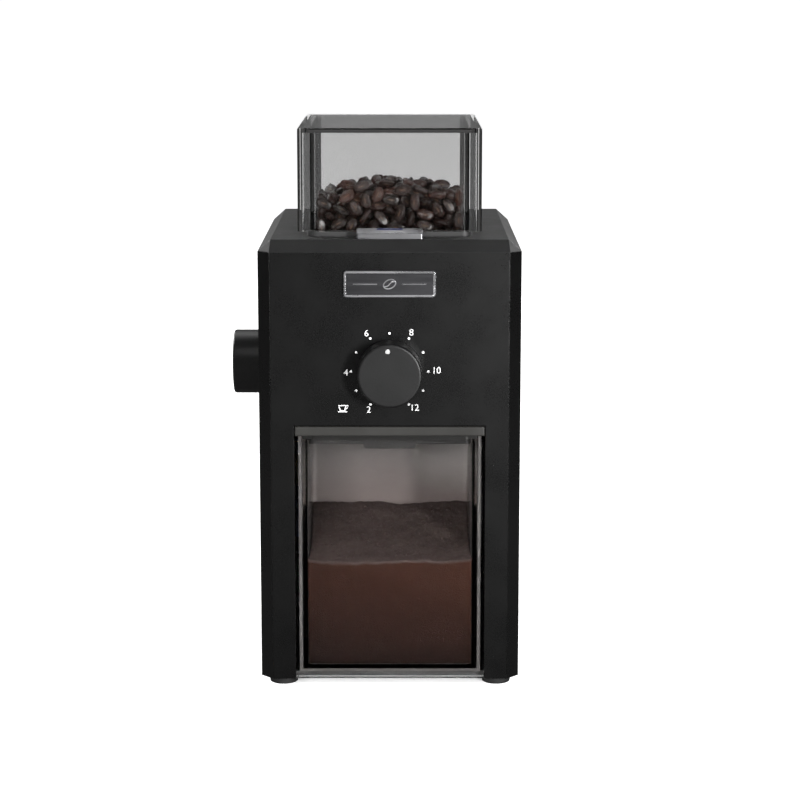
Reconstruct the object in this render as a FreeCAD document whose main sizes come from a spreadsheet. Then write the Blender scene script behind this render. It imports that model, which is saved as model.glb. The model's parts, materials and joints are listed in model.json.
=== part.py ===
import FreeCAD, Part
import math
import os
import re
import Sketcher

# Countertop burr coffee grinder, modelled as the separate pieces that it comes apart into.
# Millimetres, +Z up, z = 0 on the table. Every sub-part is drawn in the housing's own frame,
# centred on the housing's axis with the front towards -Y. Its Placement then moves it by
# frame_x and frame_y, so that the origin is under the middle of the whole grinder, whose two
# dials and cord gland reach past the housing.

DIMENSIONS = [
    ("frame_x", 7, "half of what the side dial adds to the width"),
    ("frame_y", 5, "half of what the front dial adds, less the cord gland"),
    # Housing
    ("body_half_x", 60, "half width"),
    ("body_half_y", 73.5, "half depth"),
    ("base_z", 5, "underside of the housing, on its feet"),
    ("shoulder_z", 204.8, "top of the walls"),
    ("top_z", 210.2, "top face"),
    ("corner_cut", 5.5, "leg of the chamfered corners"),
    ("top_inset", 6, "how far the top face stands in"),
    ("wall", 2.5, "shell thickness"),
    ("fit_gap", 0.3, "clearance of fixed pieces"),
    ("rest_gap", 0.05, "gap between faces that rest on each other"),
    ("slip", 0.01, "clearance of pressed pieces"),
    ("hole_gap", 0.2, "clearance of holes for plungers and the chute"),
    ("panel_half_x", 54.3, "half width of the front panel"),
    ("lip_inner_x", 46.5, "inner edge of the shell's front lips"),
    ("lip_outer_x", 55.2, "where the lips run into the chamfered strips"),
    ("lip_depth", 1.6, "thickness of the front lips"),
    ("skirt_depth", 5, "locating skirt of the top cover"),
    ("skirt_wall", 1.5, "thickness of the skirt"),
    ("skirt_rise", 0.8, "how far the skirt runs up into the cap"),
    ("floor_top_z", 7.5, "inside of the base plate"),
    ("base_front_y", -68, "front edge of the base plate"),
    ("rear_half_x", 44, "half width of the rear opening"),
    ("rear_low_z", 14, "bottom of the rear opening"),
    ("rear_high_z", 194, "top of the rear opening"),
    ("rear_flange", 7.5, "rear cover's flange behind the wall"),
    ("flange_depth", 1.8, "thickness of that flange"),
    ("flange_rise", 4, "that flange above and below the opening"),
    ("louvre_half_x", 28, "half length of a louvre"),
    ("louvre_height", 2.6, "height of a louvre"),
    ("louvre_pitch", 7, "spacing of the louvres"),
    ("louvre_low_z", 48, "lowest louvre"),
    ("louvre_count", 9, "louvres in the rear cover"),
    ("floor_slot_half_x", 19.6, "half length of a cooling slot in the floor"),
    ("floor_slot_count", 7, "cooling slots in the floor"),
    ("screw_radius", 1.5, "shank of the case screws"),
    ("screw_head_radius", 3, "head of the case screws"),
    ("screw_head_height", 1.6, "head height of the case screws"),
    ("screw_head_inset", 0.5, "bevel of the head, inwards"),
    ("screw_head_bevel", 0.6, "bevel of the head, downwards"),
    ("screw_point", 1, "tapered tip"),
    ("screw_length", 9, "length under the head"),
    ("recess_width", 0.8, "arm of the cross recess"),
    ("recess_arm", 1.8, "reach of the cross recess"),
    ("recess_depth", 0.9, "depth of the cross recess"),
    ("rear_screw_x", 48, "rear cover screws across"),
    ("rear_screw_low_z", 26, "lower rear cover screws"),
    ("rear_screw_high_z", 182, "upper rear cover screws"),
    ("base_screw_x", 49, "base screws across"),
    ("base_screw_y", 38, "base screws along"),
    ("foot_radius", 6.5, "rubber foot at the table"),
    ("foot_top_radius", 7.2, "rubber foot at the base"),
    ("foot_x", 50, "feet across"),
    ("foot_front_y", -59.5, "front feet"),
    ("foot_rear_y", 60, "rear feet"),
    # Badge on the front panel
    ("badge_half_x", 21, "half width"),
    ("badge_low_z", 184.4, "lower edge"),
    ("badge_high_z", 196.8, "upper edge"),
    ("badge_depth", 0.8, "thickness"),
    ("badge_round", 1.6, "corner radius"),
    # Cord gland
    ("gland_x", 32, "across"),
    ("gland_z", 26, "height"),
    ("gland_bore", 3.5, "bore radius"),
    ("gland_neck", 6, "neck radius"),
    ("gland_flange", 8.5, "outer flange radius"),
    ("gland_inner_flange", 7.4, "inner flange radius"),
    ("gland_reach", 3, "how far it stands out"),
    ("gland_taper", 1, "how much narrower it is outside"),
    ("gland_inner_depth", 2, "inner flange thickness"),
    # Bean hopper, its lid and its funnel
    ("lid_half_x", 42, "lid, half width"),
    ("lid_front_y", -61.5, "lid, front"),
    ("lid_rear_y", 46.5, "lid, rear"),
    ("lid_low_z", 213, "lid, lower edge"),
    ("lid_top_z", 260, "lid, top"),
    ("lid_wall", 2.2, "lid thickness"),
    ("lid_corner", 2.2, "lid corner radius"),
    ("lid_edge", 0.8, "lid top edge radius"),
    ("hopper_half_x", 36.5, "hopper, half width"),
    ("hopper_front_y", -56, "hopper, front"),
    ("hopper_rear_y", 41, "hopper, rear"),
    ("hopper_wall", 2, "hopper thickness"),
    ("hopper_corner", 3, "hopper corner radius"),
    ("hopper_inner_corner", 1.5, "hopper corner radius inside"),
    ("bore_cut", 2.5, "corner chamfer of the funnel's bore"),
    ("hopper_low_z", 211.4, "hopper, lower edge"),
    ("hopper_high_z", 257.6, "hopper rim"),
    ("collar_rim", 1.5, "collar outside the hopper"),
    ("neck_inset", 0.4, "funnel neck inside the hopper's outline"),
    ("neck_low_z", 205, "where the funnel starts to slope"),
    ("spout_half", 16, "half width of the funnel's spout"),
    ("spout_wall", 1.8, "spout thickness"),
    ("spout_cut", 8, "spout corner chamfer"),
    ("throat_cut", 7, "corner chamfer inside the spout"),
    ("spout_low_z", 180, "lower edge of the spout"),
    ("spout_high_z", 183, "where the slope ends"),
    # Start button and its switch
    ("button_half_x", 15.1, "button, half width"),
    ("button_front_y", -66.5, "button, front"),
    ("button_rear_y", -62, "button, rear"),
    ("button_front_z", 212.7, "button's front edge"),
    ("button_rear_z", 214.9, "button's rear edge"),
    ("button_corner", 0.8, "button, upright corner radius"),
    ("button_edge", 0.35, "button, top edge radius"),
    ("button_gap", 0.25, "gap round the button"),
    ("keeper_half_x", 16.8, "keeper flange under the cover"),
    ("keeper_front_y", -66, "keeper flange, front"),
    ("keeper_rear_y", -60.9, "keeper flange, rear"),
    ("keeper_low_z", 205.7, "keeper flange, underside"),
    ("keeper_high_z", 207.5, "keeper flange, top"),
    ("bracket_half_x", 19, "switch bracket, half width"),
    ("bracket_front_y", -68.6, "switch bracket, front"),
    ("bracket_leg_y", -65.5, "switch bracket legs, front"),
    ("bracket_rear_y", -60, "switch bracket, rear"),
    ("bracket_low_z", 187, "switch bracket, underside"),
    ("bracket_sheet", 1.5, "switch bracket thickness"),
    ("spring_x", 12, "button spring across"),
    ("spring_y", -64.2, "button spring along"),
    ("spring_low_z", 200, "button spring seat"),
    ("spring_radius", 2.2, "button spring coil"),
    ("spring_wire", 0.3, "button spring wire radius"),
    ("spring_turns", 4, "button spring turns"),
    ("seat_radius", 3, "button spring seat radius"),
    ("switch_high_z", 199.5, "start switch, top"),
    ("switch_plunger_z", 203.3, "start switch plunger"),
    ("start_switch_left_x", -11, "start switch, left"),
    ("start_switch_right_x", 7, "start switch, right"),
    ("start_switch_front_y", -67.4, "start switch, front"),
    ("start_switch_rear_y", -61.2, "start switch, rear"),
    ("start_plunger_x", -2, "start switch plunger across"),
    ("plunger_radius", 1.2, "switch plungers"),
    ("lid_switch_y", 45.4, "lid switch plunger"),
    ("lid_switch_low_z", 189, "lid switch, underside"),
    ("lid_switch_high_z", 202, "lid switch, top"),
    ("lid_switch_half_x", 6.5, "lid switch, half width"),
    ("lid_switch_front", 3.4, "lid switch in front of its plunger"),
    ("lid_switch_rear", 5, "lid switch behind its plunger"),
    # Grounds container and its bay
    ("drawer_half_x", 43.5, "container front plate, half width"),
    ("drawer_gap", 0.3, "gap round the front plate"),
    ("drawer_plate", 3.5, "front plate thickness"),
    ("plate_edge", 0.7, "rounding of the front plate and the lid's band"),
    ("bin_half_x", 40.2, "container, half width"),
    ("bin_rear_y", -12, "container, rear"),
    ("bin_wall", 2, "container thickness"),
    ("bin_front_wall", 3, "container front wall"),
    ("bin_corner", 5, "container rear corner radius"),
    ("bin_low_z", 9, "container, underside"),
    ("bin_floor_z", 11.1, "container, floor"),
    ("bin_high_z", 118.1, "container rim"),
    ("cap_low_z", 118.3, "container lid, underside of the rim"),
    ("cap_band_z", 120.3, "container lid, lower edge of the front band"),
    ("cap_high_z", 124.7, "container lid, top"),
    ("cap_skin", 2, "container lid thickness"),
    ("cap_skirt_z", 116, "container lid, end of the skirt"),
    ("cap_skirt_gap", 0.4, "skirt inside the container"),
    ("cap_skirt_wall", 1.2, "skirt thickness"),
    ("skirt_inner_corner", 2.4, "skirt corner radius inside"),
    ("tab_half_x", 12, "tongue under the skirt, half width"),
    ("tab_low_z", 113.9, "tongue under the skirt, lower edge"),
    ("tab_round", 1.6, "tongue corner radius"),
    ("opening_high_z", 125.2, "top of the container opening"),
    ("bay_half_x", 40.6, "bay liner inside, half width"),
    ("bay_rear_y", -10.5, "bay liner inside, rear"),
    ("bay_floor_z", 8.7, "bay liner inside, floor"),
    ("bay_ceiling_z", 125.5, "bay liner inside, ceiling"),
    ("bay_wall", 1.5, "bay liner thickness"),
    ("bay_bottom_wall", 1.1, "bay liner floor thickness"),
    ("bay_front_y", -69.8, "bay liner, front edge"),
    ("chute_left_x", 14, "drop chute, left"),
    ("chute_right_x", 34, "drop chute, right"),
    ("chute_front_y", -70, "drop chute, front"),
    ("chute_rear_y", -58.5, "drop chute, rear"),
    ("chute_low_z", 125.5, "drop chute, lower end"),
    ("chute_high_z", 154.5, "drop chute, top"),
    ("chute_wall", 1.5, "drop chute thickness"),
    ("duct_low_z", 145.2, "outlet duct, underside"),
    ("duct_half", 8, "outlet duct, half width"),
    ("duct_start", 27.7, "outlet duct starts this far from the burr axis"),
    ("duct_end", 44, "outlet duct ends this far from the burr axis"),
    ("duct_turn", -57.7, "direction of the outlet, degrees"),
    ("bay_switch_z", 60, "container switch, underside"),
    ("bay_switch_height", 12, "container switch, height"),
    ("bay_switch_half_x", 9, "container switch, half width"),
    ("bay_switch_depth", 6.4, "container switch, depth"),
    ("bay_plunger_x", 4, "container switch plunger across"),
    ("bay_plunger_length", 3.5, "container switch plunger, length drawn"),
    # Cup dial
    ("cup_z", 150.4, "height of its axis"),
    ("cup_radius", 14.7, "dial radius"),
    ("cup_face_y", -86.5, "dial face"),
    ("cup_back_y", -74.3, "dial back"),
    ("dial_edge", 1.2, "rounding of the dial rims"),
    ("dial_wall", 2, "dial thickness"),
    ("dial_back_edge", 0.4, "rounding of the dials' back rims"),
    ("dial_hub_radius", 6, "dial hub"),
    ("dial_hub_inset", 2, "hub's end inside the dial's back"),
    ("dimple_radius", 1.15, "pointer dimple"),
    ("dimple_depth", 0.4, "pointer dimple depth"),
    ("dimple_offset", 11.2, "pointer dimple off the axis"),
    ("dimple_x", -0.8, "pointer dimple across"),
    ("pot_shaft_radius", 3, "dial shaft"),
    ("shaft_gap", 0.04, "shafts in their bores"),
    ("pot_bush_radius", 3.6, "potentiometer's threaded bush"),
    ("pot_bush_y", -75.2, "front of that bush"),
    ("pot_radius", 8, "potentiometer"),
    ("pot_rear_y", -63.5, "potentiometer, rear"),
    ("pot_back_wall", 1.5, "potentiometer, back wall"),
    ("pot_shaft_end", 2, "dial shaft's end inside the potentiometer's back"),
    # Grind dial, its shaft and pinion
    ("grind_z", 147, "height of its axis"),
    ("grind_radius", 15.1, "dial radius"),
    ("grind_face_x", -74, "dial face"),
    ("grind_back_x", -60.8, "dial back"),
    ("grind_shaft_radius", 3, "shaft"),
    ("grind_shaft_end_x", -31, "inner end of the shaft"),
    ("bush_radius", 5, "bush in the wall"),
    ("bush_inner_x", -52, "bush, inner end"),
    ("bush_flange_radius", 7.5, "bush flange"),
    ("bush_flange", 2, "bush flange thickness"),
    ("pinion_teeth", 16, "grind pinion"),
    ("pinion_module", 1, "grind pinion"),
    ("pinion_start_x", -37, "grind pinion, outer end"),
    ("ring_teeth", 68, "teeth in a full turn of the adjusting ring"),
    ("ring_tooth_inner", 33, "ring tooth, inner radius"),
    ("ring_tooth_outer", 35, "ring tooth, outer radius"),
    ("ring_tooth_sector", 42, "toothed sector each side, degrees"),
    ("ring_inner", 27.58, "adjusting ring bore"),
    ("ring_outer", 36, "adjusting ring"),
    ("ring_low_z", 156.5, "adjusting ring, underside"),
    ("ring_high_z", 163.5, "adjusting ring, top"),
    ("ramp_z", 165.1, "height of the ramps at their middle"),
    ("ramp_rise", 0.0451, "rise of the ramps"),
    ("ramp_inner", 29, "ramps, inner radius"),
    ("ramp_outer", 35, "ramps, outer radius"),
    ("ramp_sector", 42, "ramp each side of its middle, degrees"),
    # Burrs, chamber and carrier
    ("burr_y", -26, "burr axis along the depth"),
    ("chamber_inner", 25.5, "chamber bore"),
    ("chamber_outer", 27.5, "chamber outside"),
    ("chamber_low_z", 145, "chamber, underside"),
    ("chamber_floor_z", 147, "chamber floor"),
    ("chamber_high_z", 172, "chamber rim"),
    ("ledge_outer", 30, "ledge under the adjusting ring"),
    ("ledge_low_z", 154.8, "ledge, underside"),
    ("ledge_high_z", 156.3, "ledge, top"),
    ("ear_radius", 4, "chamber ears"),
    ("ear_offset", 31, "chamber ears off the burr axis"),
    ("window_low_z", 147.2, "outlet window, lower edge"),
    ("window_high_z", 153, "outlet window, upper edge"),
    ("slot_low_z", 163.6, "slots for the carrier's pins"),
    ("pin_gap", 0.15, "clearance of the pins in their slots"),
    ("pin_radius", 2, "carrier pins"),
    ("pin_z", 167.3, "carrier pins' axis"),
    ("pin_end", 34.4, "carrier pins' outer end"),
    ("carrier_outer", 25.42, "carrier outside"),
    ("carrier_low_z", 163.6, "carrier, underside"),
    ("carrier_high_z", 178, "carrier, top"),
    ("carrier_mouth", 23, "carrier mouth"),
    ("carrier_floor", 1.5, "carrier under its mouth"),
    ("burr_outer", 19.5, "burrs, outside"),
    ("burr_bore", 9.2, "upper burr bore"),
    ("upper_burr_low_z", 157.7, "upper burr, cutting face"),
    ("lower_burr_low_z", 150.4, "lower burr, back"),
    ("lower_burr_high_z", 156.5, "lower burr, cutting face"),
    ("groove_count", 24, "grooves in each burr"),
    ("groove_half", 0.9, "groove, half width"),
    ("groove_depth", 1.3, "groove depth"),
    ("groove_skew", 3.5, "how far the grooves pass the axis"),
    ("impeller_low_z", 147.9, "impeller, underside"),
    ("impeller_outer", 24.8, "impeller"),
    ("vane_inner", 20.3, "impeller vanes, inner end"),
    ("vane_high_z", 156, "impeller vanes, top"),
    ("vane_count", 4, "impeller vanes"),
    ("vane_half", 0.9, "impeller vanes, half thickness"),
    ("burr_shaft_radius", 4, "burr shaft"),
    ("burr_shaft_low_z", 127.6, "burr shaft, lower end"),
    ("burr_seat_radius", 3.5, "burr shaft through the lower burr"),
    ("thread_radius", 2.5, "burr shaft thread"),
    ("thread_high_z", 161, "burr shaft, upper end"),
    ("nut_flats", 9, "burr nut across flats"),
    ("nut_high_z", 160, "burr nut, top"),
    ("bearing_outer", 8, "burr bearings, outside"),
    ("bearing_height", 4, "burr bearings"),
    ("bearing_gap", 0.2, "end play of the bearings"),
    # Gear train
    ("burr_gear_teeth", 62, "burr gear"),
    ("coarse_module", 1, "burr gear and the idler's small gear"),
    ("burr_gear_low_z", 131.5, "burr gear, underside"),
    ("burr_gear_high_z", 136.5, "burr gear, top"),
    ("web_hole_radius", 5, "holes in the burr gear's web"),
    ("web_hole_offset", 19, "those holes off the axis"),
    ("web_hole_count", 6, "number of those holes"),
    ("hub_radius", 8, "burr gear hub"),
    ("hub_high_z", 141.2, "burr gear hub, top"),
    ("idler_small_teeth", 14, "idler, small gear"),
    ("idler_large_teeth", 46, "idler, large gear"),
    ("fine_module", 0.8, "idler's large gear and the motor pinion"),
    ("idler_y", 12, "idler axis"),
    ("idler_low_z", 131.2, "idler, underside"),
    ("idler_step_z", 137.4, "idler, underside of the large gear"),
    ("idler_high_z", 141.2, "idler, top"),
    ("idler_pin_radius", 2.5, "idler pin"),
    ("motor_teeth", 14, "motor pinion"),
    ("pinion_overlap", 0.2, "motor pinion past the idler's teeth, each end"),
    ("motor_y", 36, "motor axis"),
    ("tooth_addendum", 0.8, "tooth height above the pitch circle, in modules"),
    ("tooth_dedendum", 1.1, "tooth depth below the pitch circle, in modules"),
    ("tooth_backlash", 0.1, "tooth thinning"),
    ("pressure_angle", 20, "degrees"),
    # Plates that carry the gears
    ("upper_plate_low_z", 142, "upper plate, underside"),
    ("upper_plate_half_x", 46, "upper plate, half width"),
    ("plate_front_y", -57.3, "both plates, front"),
    ("upper_plate_rear_y", 60, "upper plate, rear"),
    ("lower_plate_low_z", 127.3, "lower plate, underside"),
    ("lower_plate_high_z", 129.8, "lower plate, top"),
    ("lower_plate_half_x", 56.5, "lower plate, half width"),
    ("lower_plate_rear_y", 62, "lower plate, rear"),
    ("boss_radius", 10.5, "bearing boss"),
    ("boss_high_z", 131.2, "bearing boss, top"),
    ("post_radius", 4, "posts between the plates"),
    ("post_x", 41, "posts across"),
    ("post_front_y", -50, "front posts"),
    ("post_rear_y", 55, "rear posts"),
    ("window_left_x", -41, "pinion window, left"),
    ("window_right_x", -28.5, "pinion window, right"),
    ("window_half_y", 12, "pinion window, half length"),
    ("upright_half_y", 8, "shaft support, half width"),
    ("upright_high_z", 153, "shaft support, top"),
    ("upright_outer_x", -45.5, "shaft support, outer face"),
    ("ledge_inner_x", 50, "wall ledges under the lower plate"),
    ("ledge_height", 6, "wall ledges"),
    ("ledge_length", 10, "wall ledges"),
    ("ledge_front_y", -45, "front wall ledges"),
    ("ledge_rear_y", 52, "rear wall ledges"),
    ("ledge_screw_x", 53, "plate screws across"),
    # Motor
    ("can_outer", 24, "motor can, outside"),
    ("can_inner", 22.5, "motor can, inside"),
    ("can_low_z", 62, "motor can, lower rim"),
    ("can_top", 3, "motor can, closed end"),
    ("motor_shaft_radius", 2.5, "motor shaft"),
    ("motor_shaft_low_z", 59.5, "motor shaft, lower end"),
    ("end_cap_low_z", 57, "motor end cap, underside"),
    ("end_cap_thick", 3, "motor end cap thickness"),
    ("motor_bush_radius", 6, "motor bushes"),
    ("motor_bush_height", 5, "motor bushes"),
    ("lower_bush_gap", 2, "hole in the lower plate round the motor's bush"),
    ("upper_bush_gap", 1, "hole in the upper plate round the motor's shaft"),
    ("cap_collar", 3, "end cap's collar up inside the can"),
    ("cap_collar_wall", 2, "end cap's collar in from the can's bore"),
    ("cap_boss_wall", 2, "wall round the end cap's bush"),
    ("brush_rest_gap", 3, "brush rests off the commutator"),
    ("magnet_inner", 19.4, "magnets, inner radius"),
    ("magnet_low_z", 76, "magnets, lower end"),
    ("magnet_high_z", 116, "magnets, upper end"),
    ("magnet_half", 62, "magnet, half angle in degrees"),
    ("rotor_radius", 18.6, "rotor stack"),
    ("rotor_low_z", 79, "rotor stack, lower end"),
    ("rotor_high_z", 113, "rotor stack, upper end"),
    ("rotor_slots", 10, "rotor slots"),
    ("rotor_slot_width", 2.4, "rotor slot opening"),
    ("rotor_slot_depth", 9, "rotor slot depth"),
    ("commutator_radius", 7, "commutator"),
    ("commutator_low_z", 66, "commutator, lower end"),
    ("commutator_high_z", 75, "commutator, upper end"),
    ("brush_end", 19, "brushes, outer end"),
    ("brush_half", 2.5, "brushes, half width"),
    ("brush_low_z", 67.5, "brushes, underside"),
    ("brush_height", 6, "brushes, height"),
    # Electronics
    ("board_x", -50, "control board, inner face"),
    ("board_thick", 1.6, "control board thickness"),
    ("board_front_y", -4, "control board, front"),
    ("board_rear_y", 58, "control board, rear"),
    ("board_low_z", 22, "control board, lower edge"),
    ("board_high_z", 108, "control board, upper edge"),
    ("stud_radius", 2.5, "board studs"),
    ("stud_inset", 5, "board studs in from the board's edges"),
    ("terminal_depth", 9, "terminal block, off the board"),
    ("terminal_start_y", 8, "terminal block behind the board's front edge"),
    ("terminal_end_y", 34, "far end of the terminal block from that edge"),
    ("terminal_start_z", 3, "terminal block above the board's lower edge"),
    ("terminal_end_z", 13, "top of the terminal block from that edge"),
    ("relay_depth", 15.5, "relay, off the board"),
    ("relay_start_y", 26, "relay's front before the board's rear edge"),
    ("relay_end_y", 7, "relay's rear before that edge"),
    ("relay_start_z", 24, "relay above the board's lower edge"),
    ("relay_end_z", 39, "top of the relay from that edge"),
    ("relay_edge", 0.8, "relay edge radius"),
    ("capacitor_radius", 8, "capacitor"),
    ("capacitor_length", 20, "capacitor"),
    ("capacitor_y", 14, "capacitor behind the board's front edge"),
    ("capacitor_drop", 22, "capacitor under the board's upper edge"),
    ("capacitor_edge", 1, "capacitor edge radius"),
]

# Directions round the burr axis, in degrees
PIN_ANGLES = (90, 210, 330)
EAR_ANGLES = (20, 130, 250)

SUBPARTS = []

doc = FreeCAD.newDocument("burr_coffee_grinder")
sheet = doc.addObject("Spreadsheet::Sheet", "dims")
for row, (alias, size, note) in enumerate(DIMENSIONS, start=1):
    sheet.set("A%d" % row, alias)
    sheet.set("B%d" % row, str(size))
    sheet.set("C%d" % row, note)
    sheet.setAlias("B%d" % row, alias)
doc.recompute()


# ---- Rules: text such as "wall*2", worked out by the document from the sheet ----

def bound(rule):
    """The rule with each dimension's name pointing at the sheet."""
    return re.sub(r"\b([a-z][a-z_0-9]*)\b(?!\()", r"dims.\1", rule)


def value(rule):
    """The number that a rule gives."""
    return float(sheet.evalExpression(rule))


def minus(rule):
    """The rule's negative."""
    return "-(%s)" % rule


def both(rule):
    """A span that is symmetric about zero."""
    return (minus(rule), rule)


def bind_place(shape, x, y, z):
    """Bind where the shape's own origin is."""
    shape.setExpression(".Placement.Base.x", bound(x))
    shape.setExpression(".Placement.Base.y", bound(y))
    shape.setExpression(".Placement.Base.z", bound(z))


def name_part(shape, label, x="0", y="0", z="0"):
    """Make a finished shape a sub-part: label it, and place it in the grinder's frame."""
    shape.Label = label
    bind_place(shape, "frame_x+(%s)" % x, "frame_y+(%s)" % y, z)
    SUBPARTS.append(shape)


# ---- Solids from primitives and booleans; cutting tools reach 1 or 2 past what they cut ----

def box(name, xs, ys, zs):
    """A block between pairs of coordinates."""
    solid = doc.addObject("Part::Box", name)
    for size, (low, high) in (("Length", xs), ("Width", ys), ("Height", zs)):
        solid.setExpression(size, bound("(%s)-(%s)" % (high, low)))
    bind_place(solid, xs[0], ys[0], zs[0])
    return solid


TURN_TO = {
    "z": FreeCAD.Rotation(),
    "x": FreeCAD.Rotation(FreeCAD.Vector(0, 1, 0), 90),
    "y": FreeCAD.Rotation(FreeCAD.Vector(1, 0, 0), -90),
}


def rod(name, radius, start, length, along="z"):
    """A cylinder that starts at a point and runs along an axis."""
    solid = doc.addObject("Part::Cylinder", name)
    solid.setExpression("Radius", bound(radius))
    solid.setExpression("Height", bound(length))
    solid.Placement = FreeCAD.Placement(FreeCAD.Vector(), TURN_TO[along])
    bind_place(solid, *start)
    return solid


def cone(name, low_radius, high_radius, start, length):
    """A round taper that starts at a point and runs up."""
    solid = doc.addObject("Part::Cone", name)
    solid.setExpression("Radius1", bound(low_radius))
    solid.setExpression("Radius2", bound(high_radius))
    solid.setExpression("Height", bound(length))
    bind_place(solid, *start)
    return solid


def fuse(name, *pieces):
    """The pieces as one; pieces that stay apart remain separate solids."""
    result = doc.addObject("Part::MultiFuse", name)
    result.Shapes = list(pieces)
    return result


def cut(name, base, *tools):
    """The base with the tools taken away."""
    result = doc.addObject("Part::Cut", name)
    result.Base = base
    result.Tool = tools[0] if len(tools) == 1 else fuse(name + "_tools", *tools)
    return result


def turned(piece, degrees, about_x="0", about_y="0"):
    """Turn a piece about a vertical axis by wrapping it in a group of its own."""
    group = doc.addObject("Part::Compound", piece.Name + "_turned")
    group.Links = [piece]
    swing = FreeCAD.Rotation(FreeCAD.Vector(0, 0, 1), degrees)
    group.Placement = FreeCAD.Placement(FreeCAD.Vector(), swing)
    bind_place(group, about_x, about_y, "0")
    return group


def rounded(name, base, radius, chosen):
    """The base with the chosen edges rounded."""
    doc.recompute()
    size = value(radius)
    result = doc.addObject("Part::Fillet", name)
    result.Base = base
    edges = enumerate(base.Shape.Edges, start=1)
    result.Edges = [(index, size, size) for index, edge in edges if chosen(edge)]
    return result


def runs_along(edge, axis):
    """Whether a straight edge runs along x, y or z."""
    if len(edge.Vertexes) != 2:
        return False
    span = edge.Vertexes[1].Point.sub(edge.Vertexes[0].Point)
    return abs(abs(getattr(span, axis)) - edge.Length) < 1e-6


def lies_at(edge, axis, rule):
    """Whether the whole edge lies at one coordinate."""
    low = getattr(edge.BoundBox, axis.upper() + "Min")
    high = getattr(edge.BoundBox, axis.upper() + "Max")
    return abs(low - value(rule)) < 1e-3 and abs(high - value(rule)) < 1e-3


def rounded_block(name, xs, ys, zs, radius):
    """A block with its four upright edges rounded."""
    block = box(name + "_block", xs, ys, zs)
    return rounded(name, block, radius, lambda edge: runs_along(edge, "z"))


# ---- Solids from sketches ----

def new_body(name):
    return doc.addObject("PartDesign::Body", name)


def origin_item(body, role):
    """The body's own origin plane or axis with this role."""
    return next(item for item in body.Origin.OriginFeatures if item.Role == role)


def outline(body, name, role, loops, level="0"):
    """A sketch of closed polygons whose corners are rule pairs, level along its normal."""
    sketch = body.newObject("Sketcher::SketchObject", name)
    sketch.AttachmentSupport = [(origin_item(body, role), "")]
    sketch.MapMode = "FlatFace"
    sketch.setExpression(".AttachmentOffset.Base.z", bound(level))
    first = 0
    for corners in loops:
        count = len(corners)
        points = [FreeCAD.Vector(value(across), value(up), 0) for across, up in corners]
        for index in range(count):
            sketch.addGeometry(Part.LineSegment(points[index], points[(index + 1) % count]))
        for index in range(count):
            following = first + (index + 1) % count
            sketch.addConstraint(Sketcher.Constraint("Coincident", first + index, 2, following, 1))
        for index, corner in enumerate(corners):
            for kind, rule in zip(("DistanceX", "DistanceY"), corner):
                size = Sketcher.Constraint(kind, -1, 1, first + index, 1, value(rule))
                number = sketch.addConstraint(size)
                sketch.setExpression("Constraints[%d]" % number, bound(rule))
        first += count
    return sketch


def add_feature(body, kind, name, profile):
    feature = body.newObject("PartDesign::" + kind, name)
    feature.Profile = profile
    return feature


def padded(name, role, loops, level, length):
    """A body that is one pad of the loops."""
    body = new_body(name)
    sketch = outline(body, name + "_outline", role, loops, level)
    pad = add_feature(body, "Pad", name + "_pad", sketch)
    pad.setExpression("Length", bound(length))
    return body


def revolved(name, profile, along="z"):
    """A body turned about an axis from (radius, station) corners."""
    body = new_body(name)
    role = "XZ_Plane" if along == "z" else "XY_Plane"
    corners = [(station, radius) for radius, station in profile] if along == "x" else profile
    sketch = outline(body, name + "_profile", role, [corners])
    turn = add_feature(body, "Revolution", name + "_turn", sketch)
    turn.ReferenceAxis = (sketch, ["H_Axis" if along == "x" else "V_Axis"])
    turn.Angle = 360
    return body


def ring(inner, outer, low, high):
    """The profile of a plain ring."""
    return [(inner, low), (outer, low), (outer, high), (inner, high)]


def octagon(xs, ys, leg):
    """A rectangle with its corners cut off, as polygon corners."""
    left, right = xs
    front, rear = ys
    return [
        ("(%s)+(%s)" % (left, leg), front), ("(%s)-(%s)" % (right, leg), front),
        (right, "(%s)+(%s)" % (front, leg)), (right, "(%s)-(%s)" % (rear, leg)),
        ("(%s)-(%s)" % (right, leg), rear), ("(%s)+(%s)" % (left, leg), rear),
        (left, "(%s)-(%s)" % (rear, leg)), (left, "(%s)+(%s)" % (front, leg)),
    ]


def direct_shape(name, shape):
    """A feature whose shape was made here from the sheet's values."""
    feature = doc.addObject("Part::Feature", name)
    feature.Shape = shape
    return feature


# ---- Housing ----

INNER_LEG = "corner_cut-wall*(2-sqrt(2))"


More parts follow.
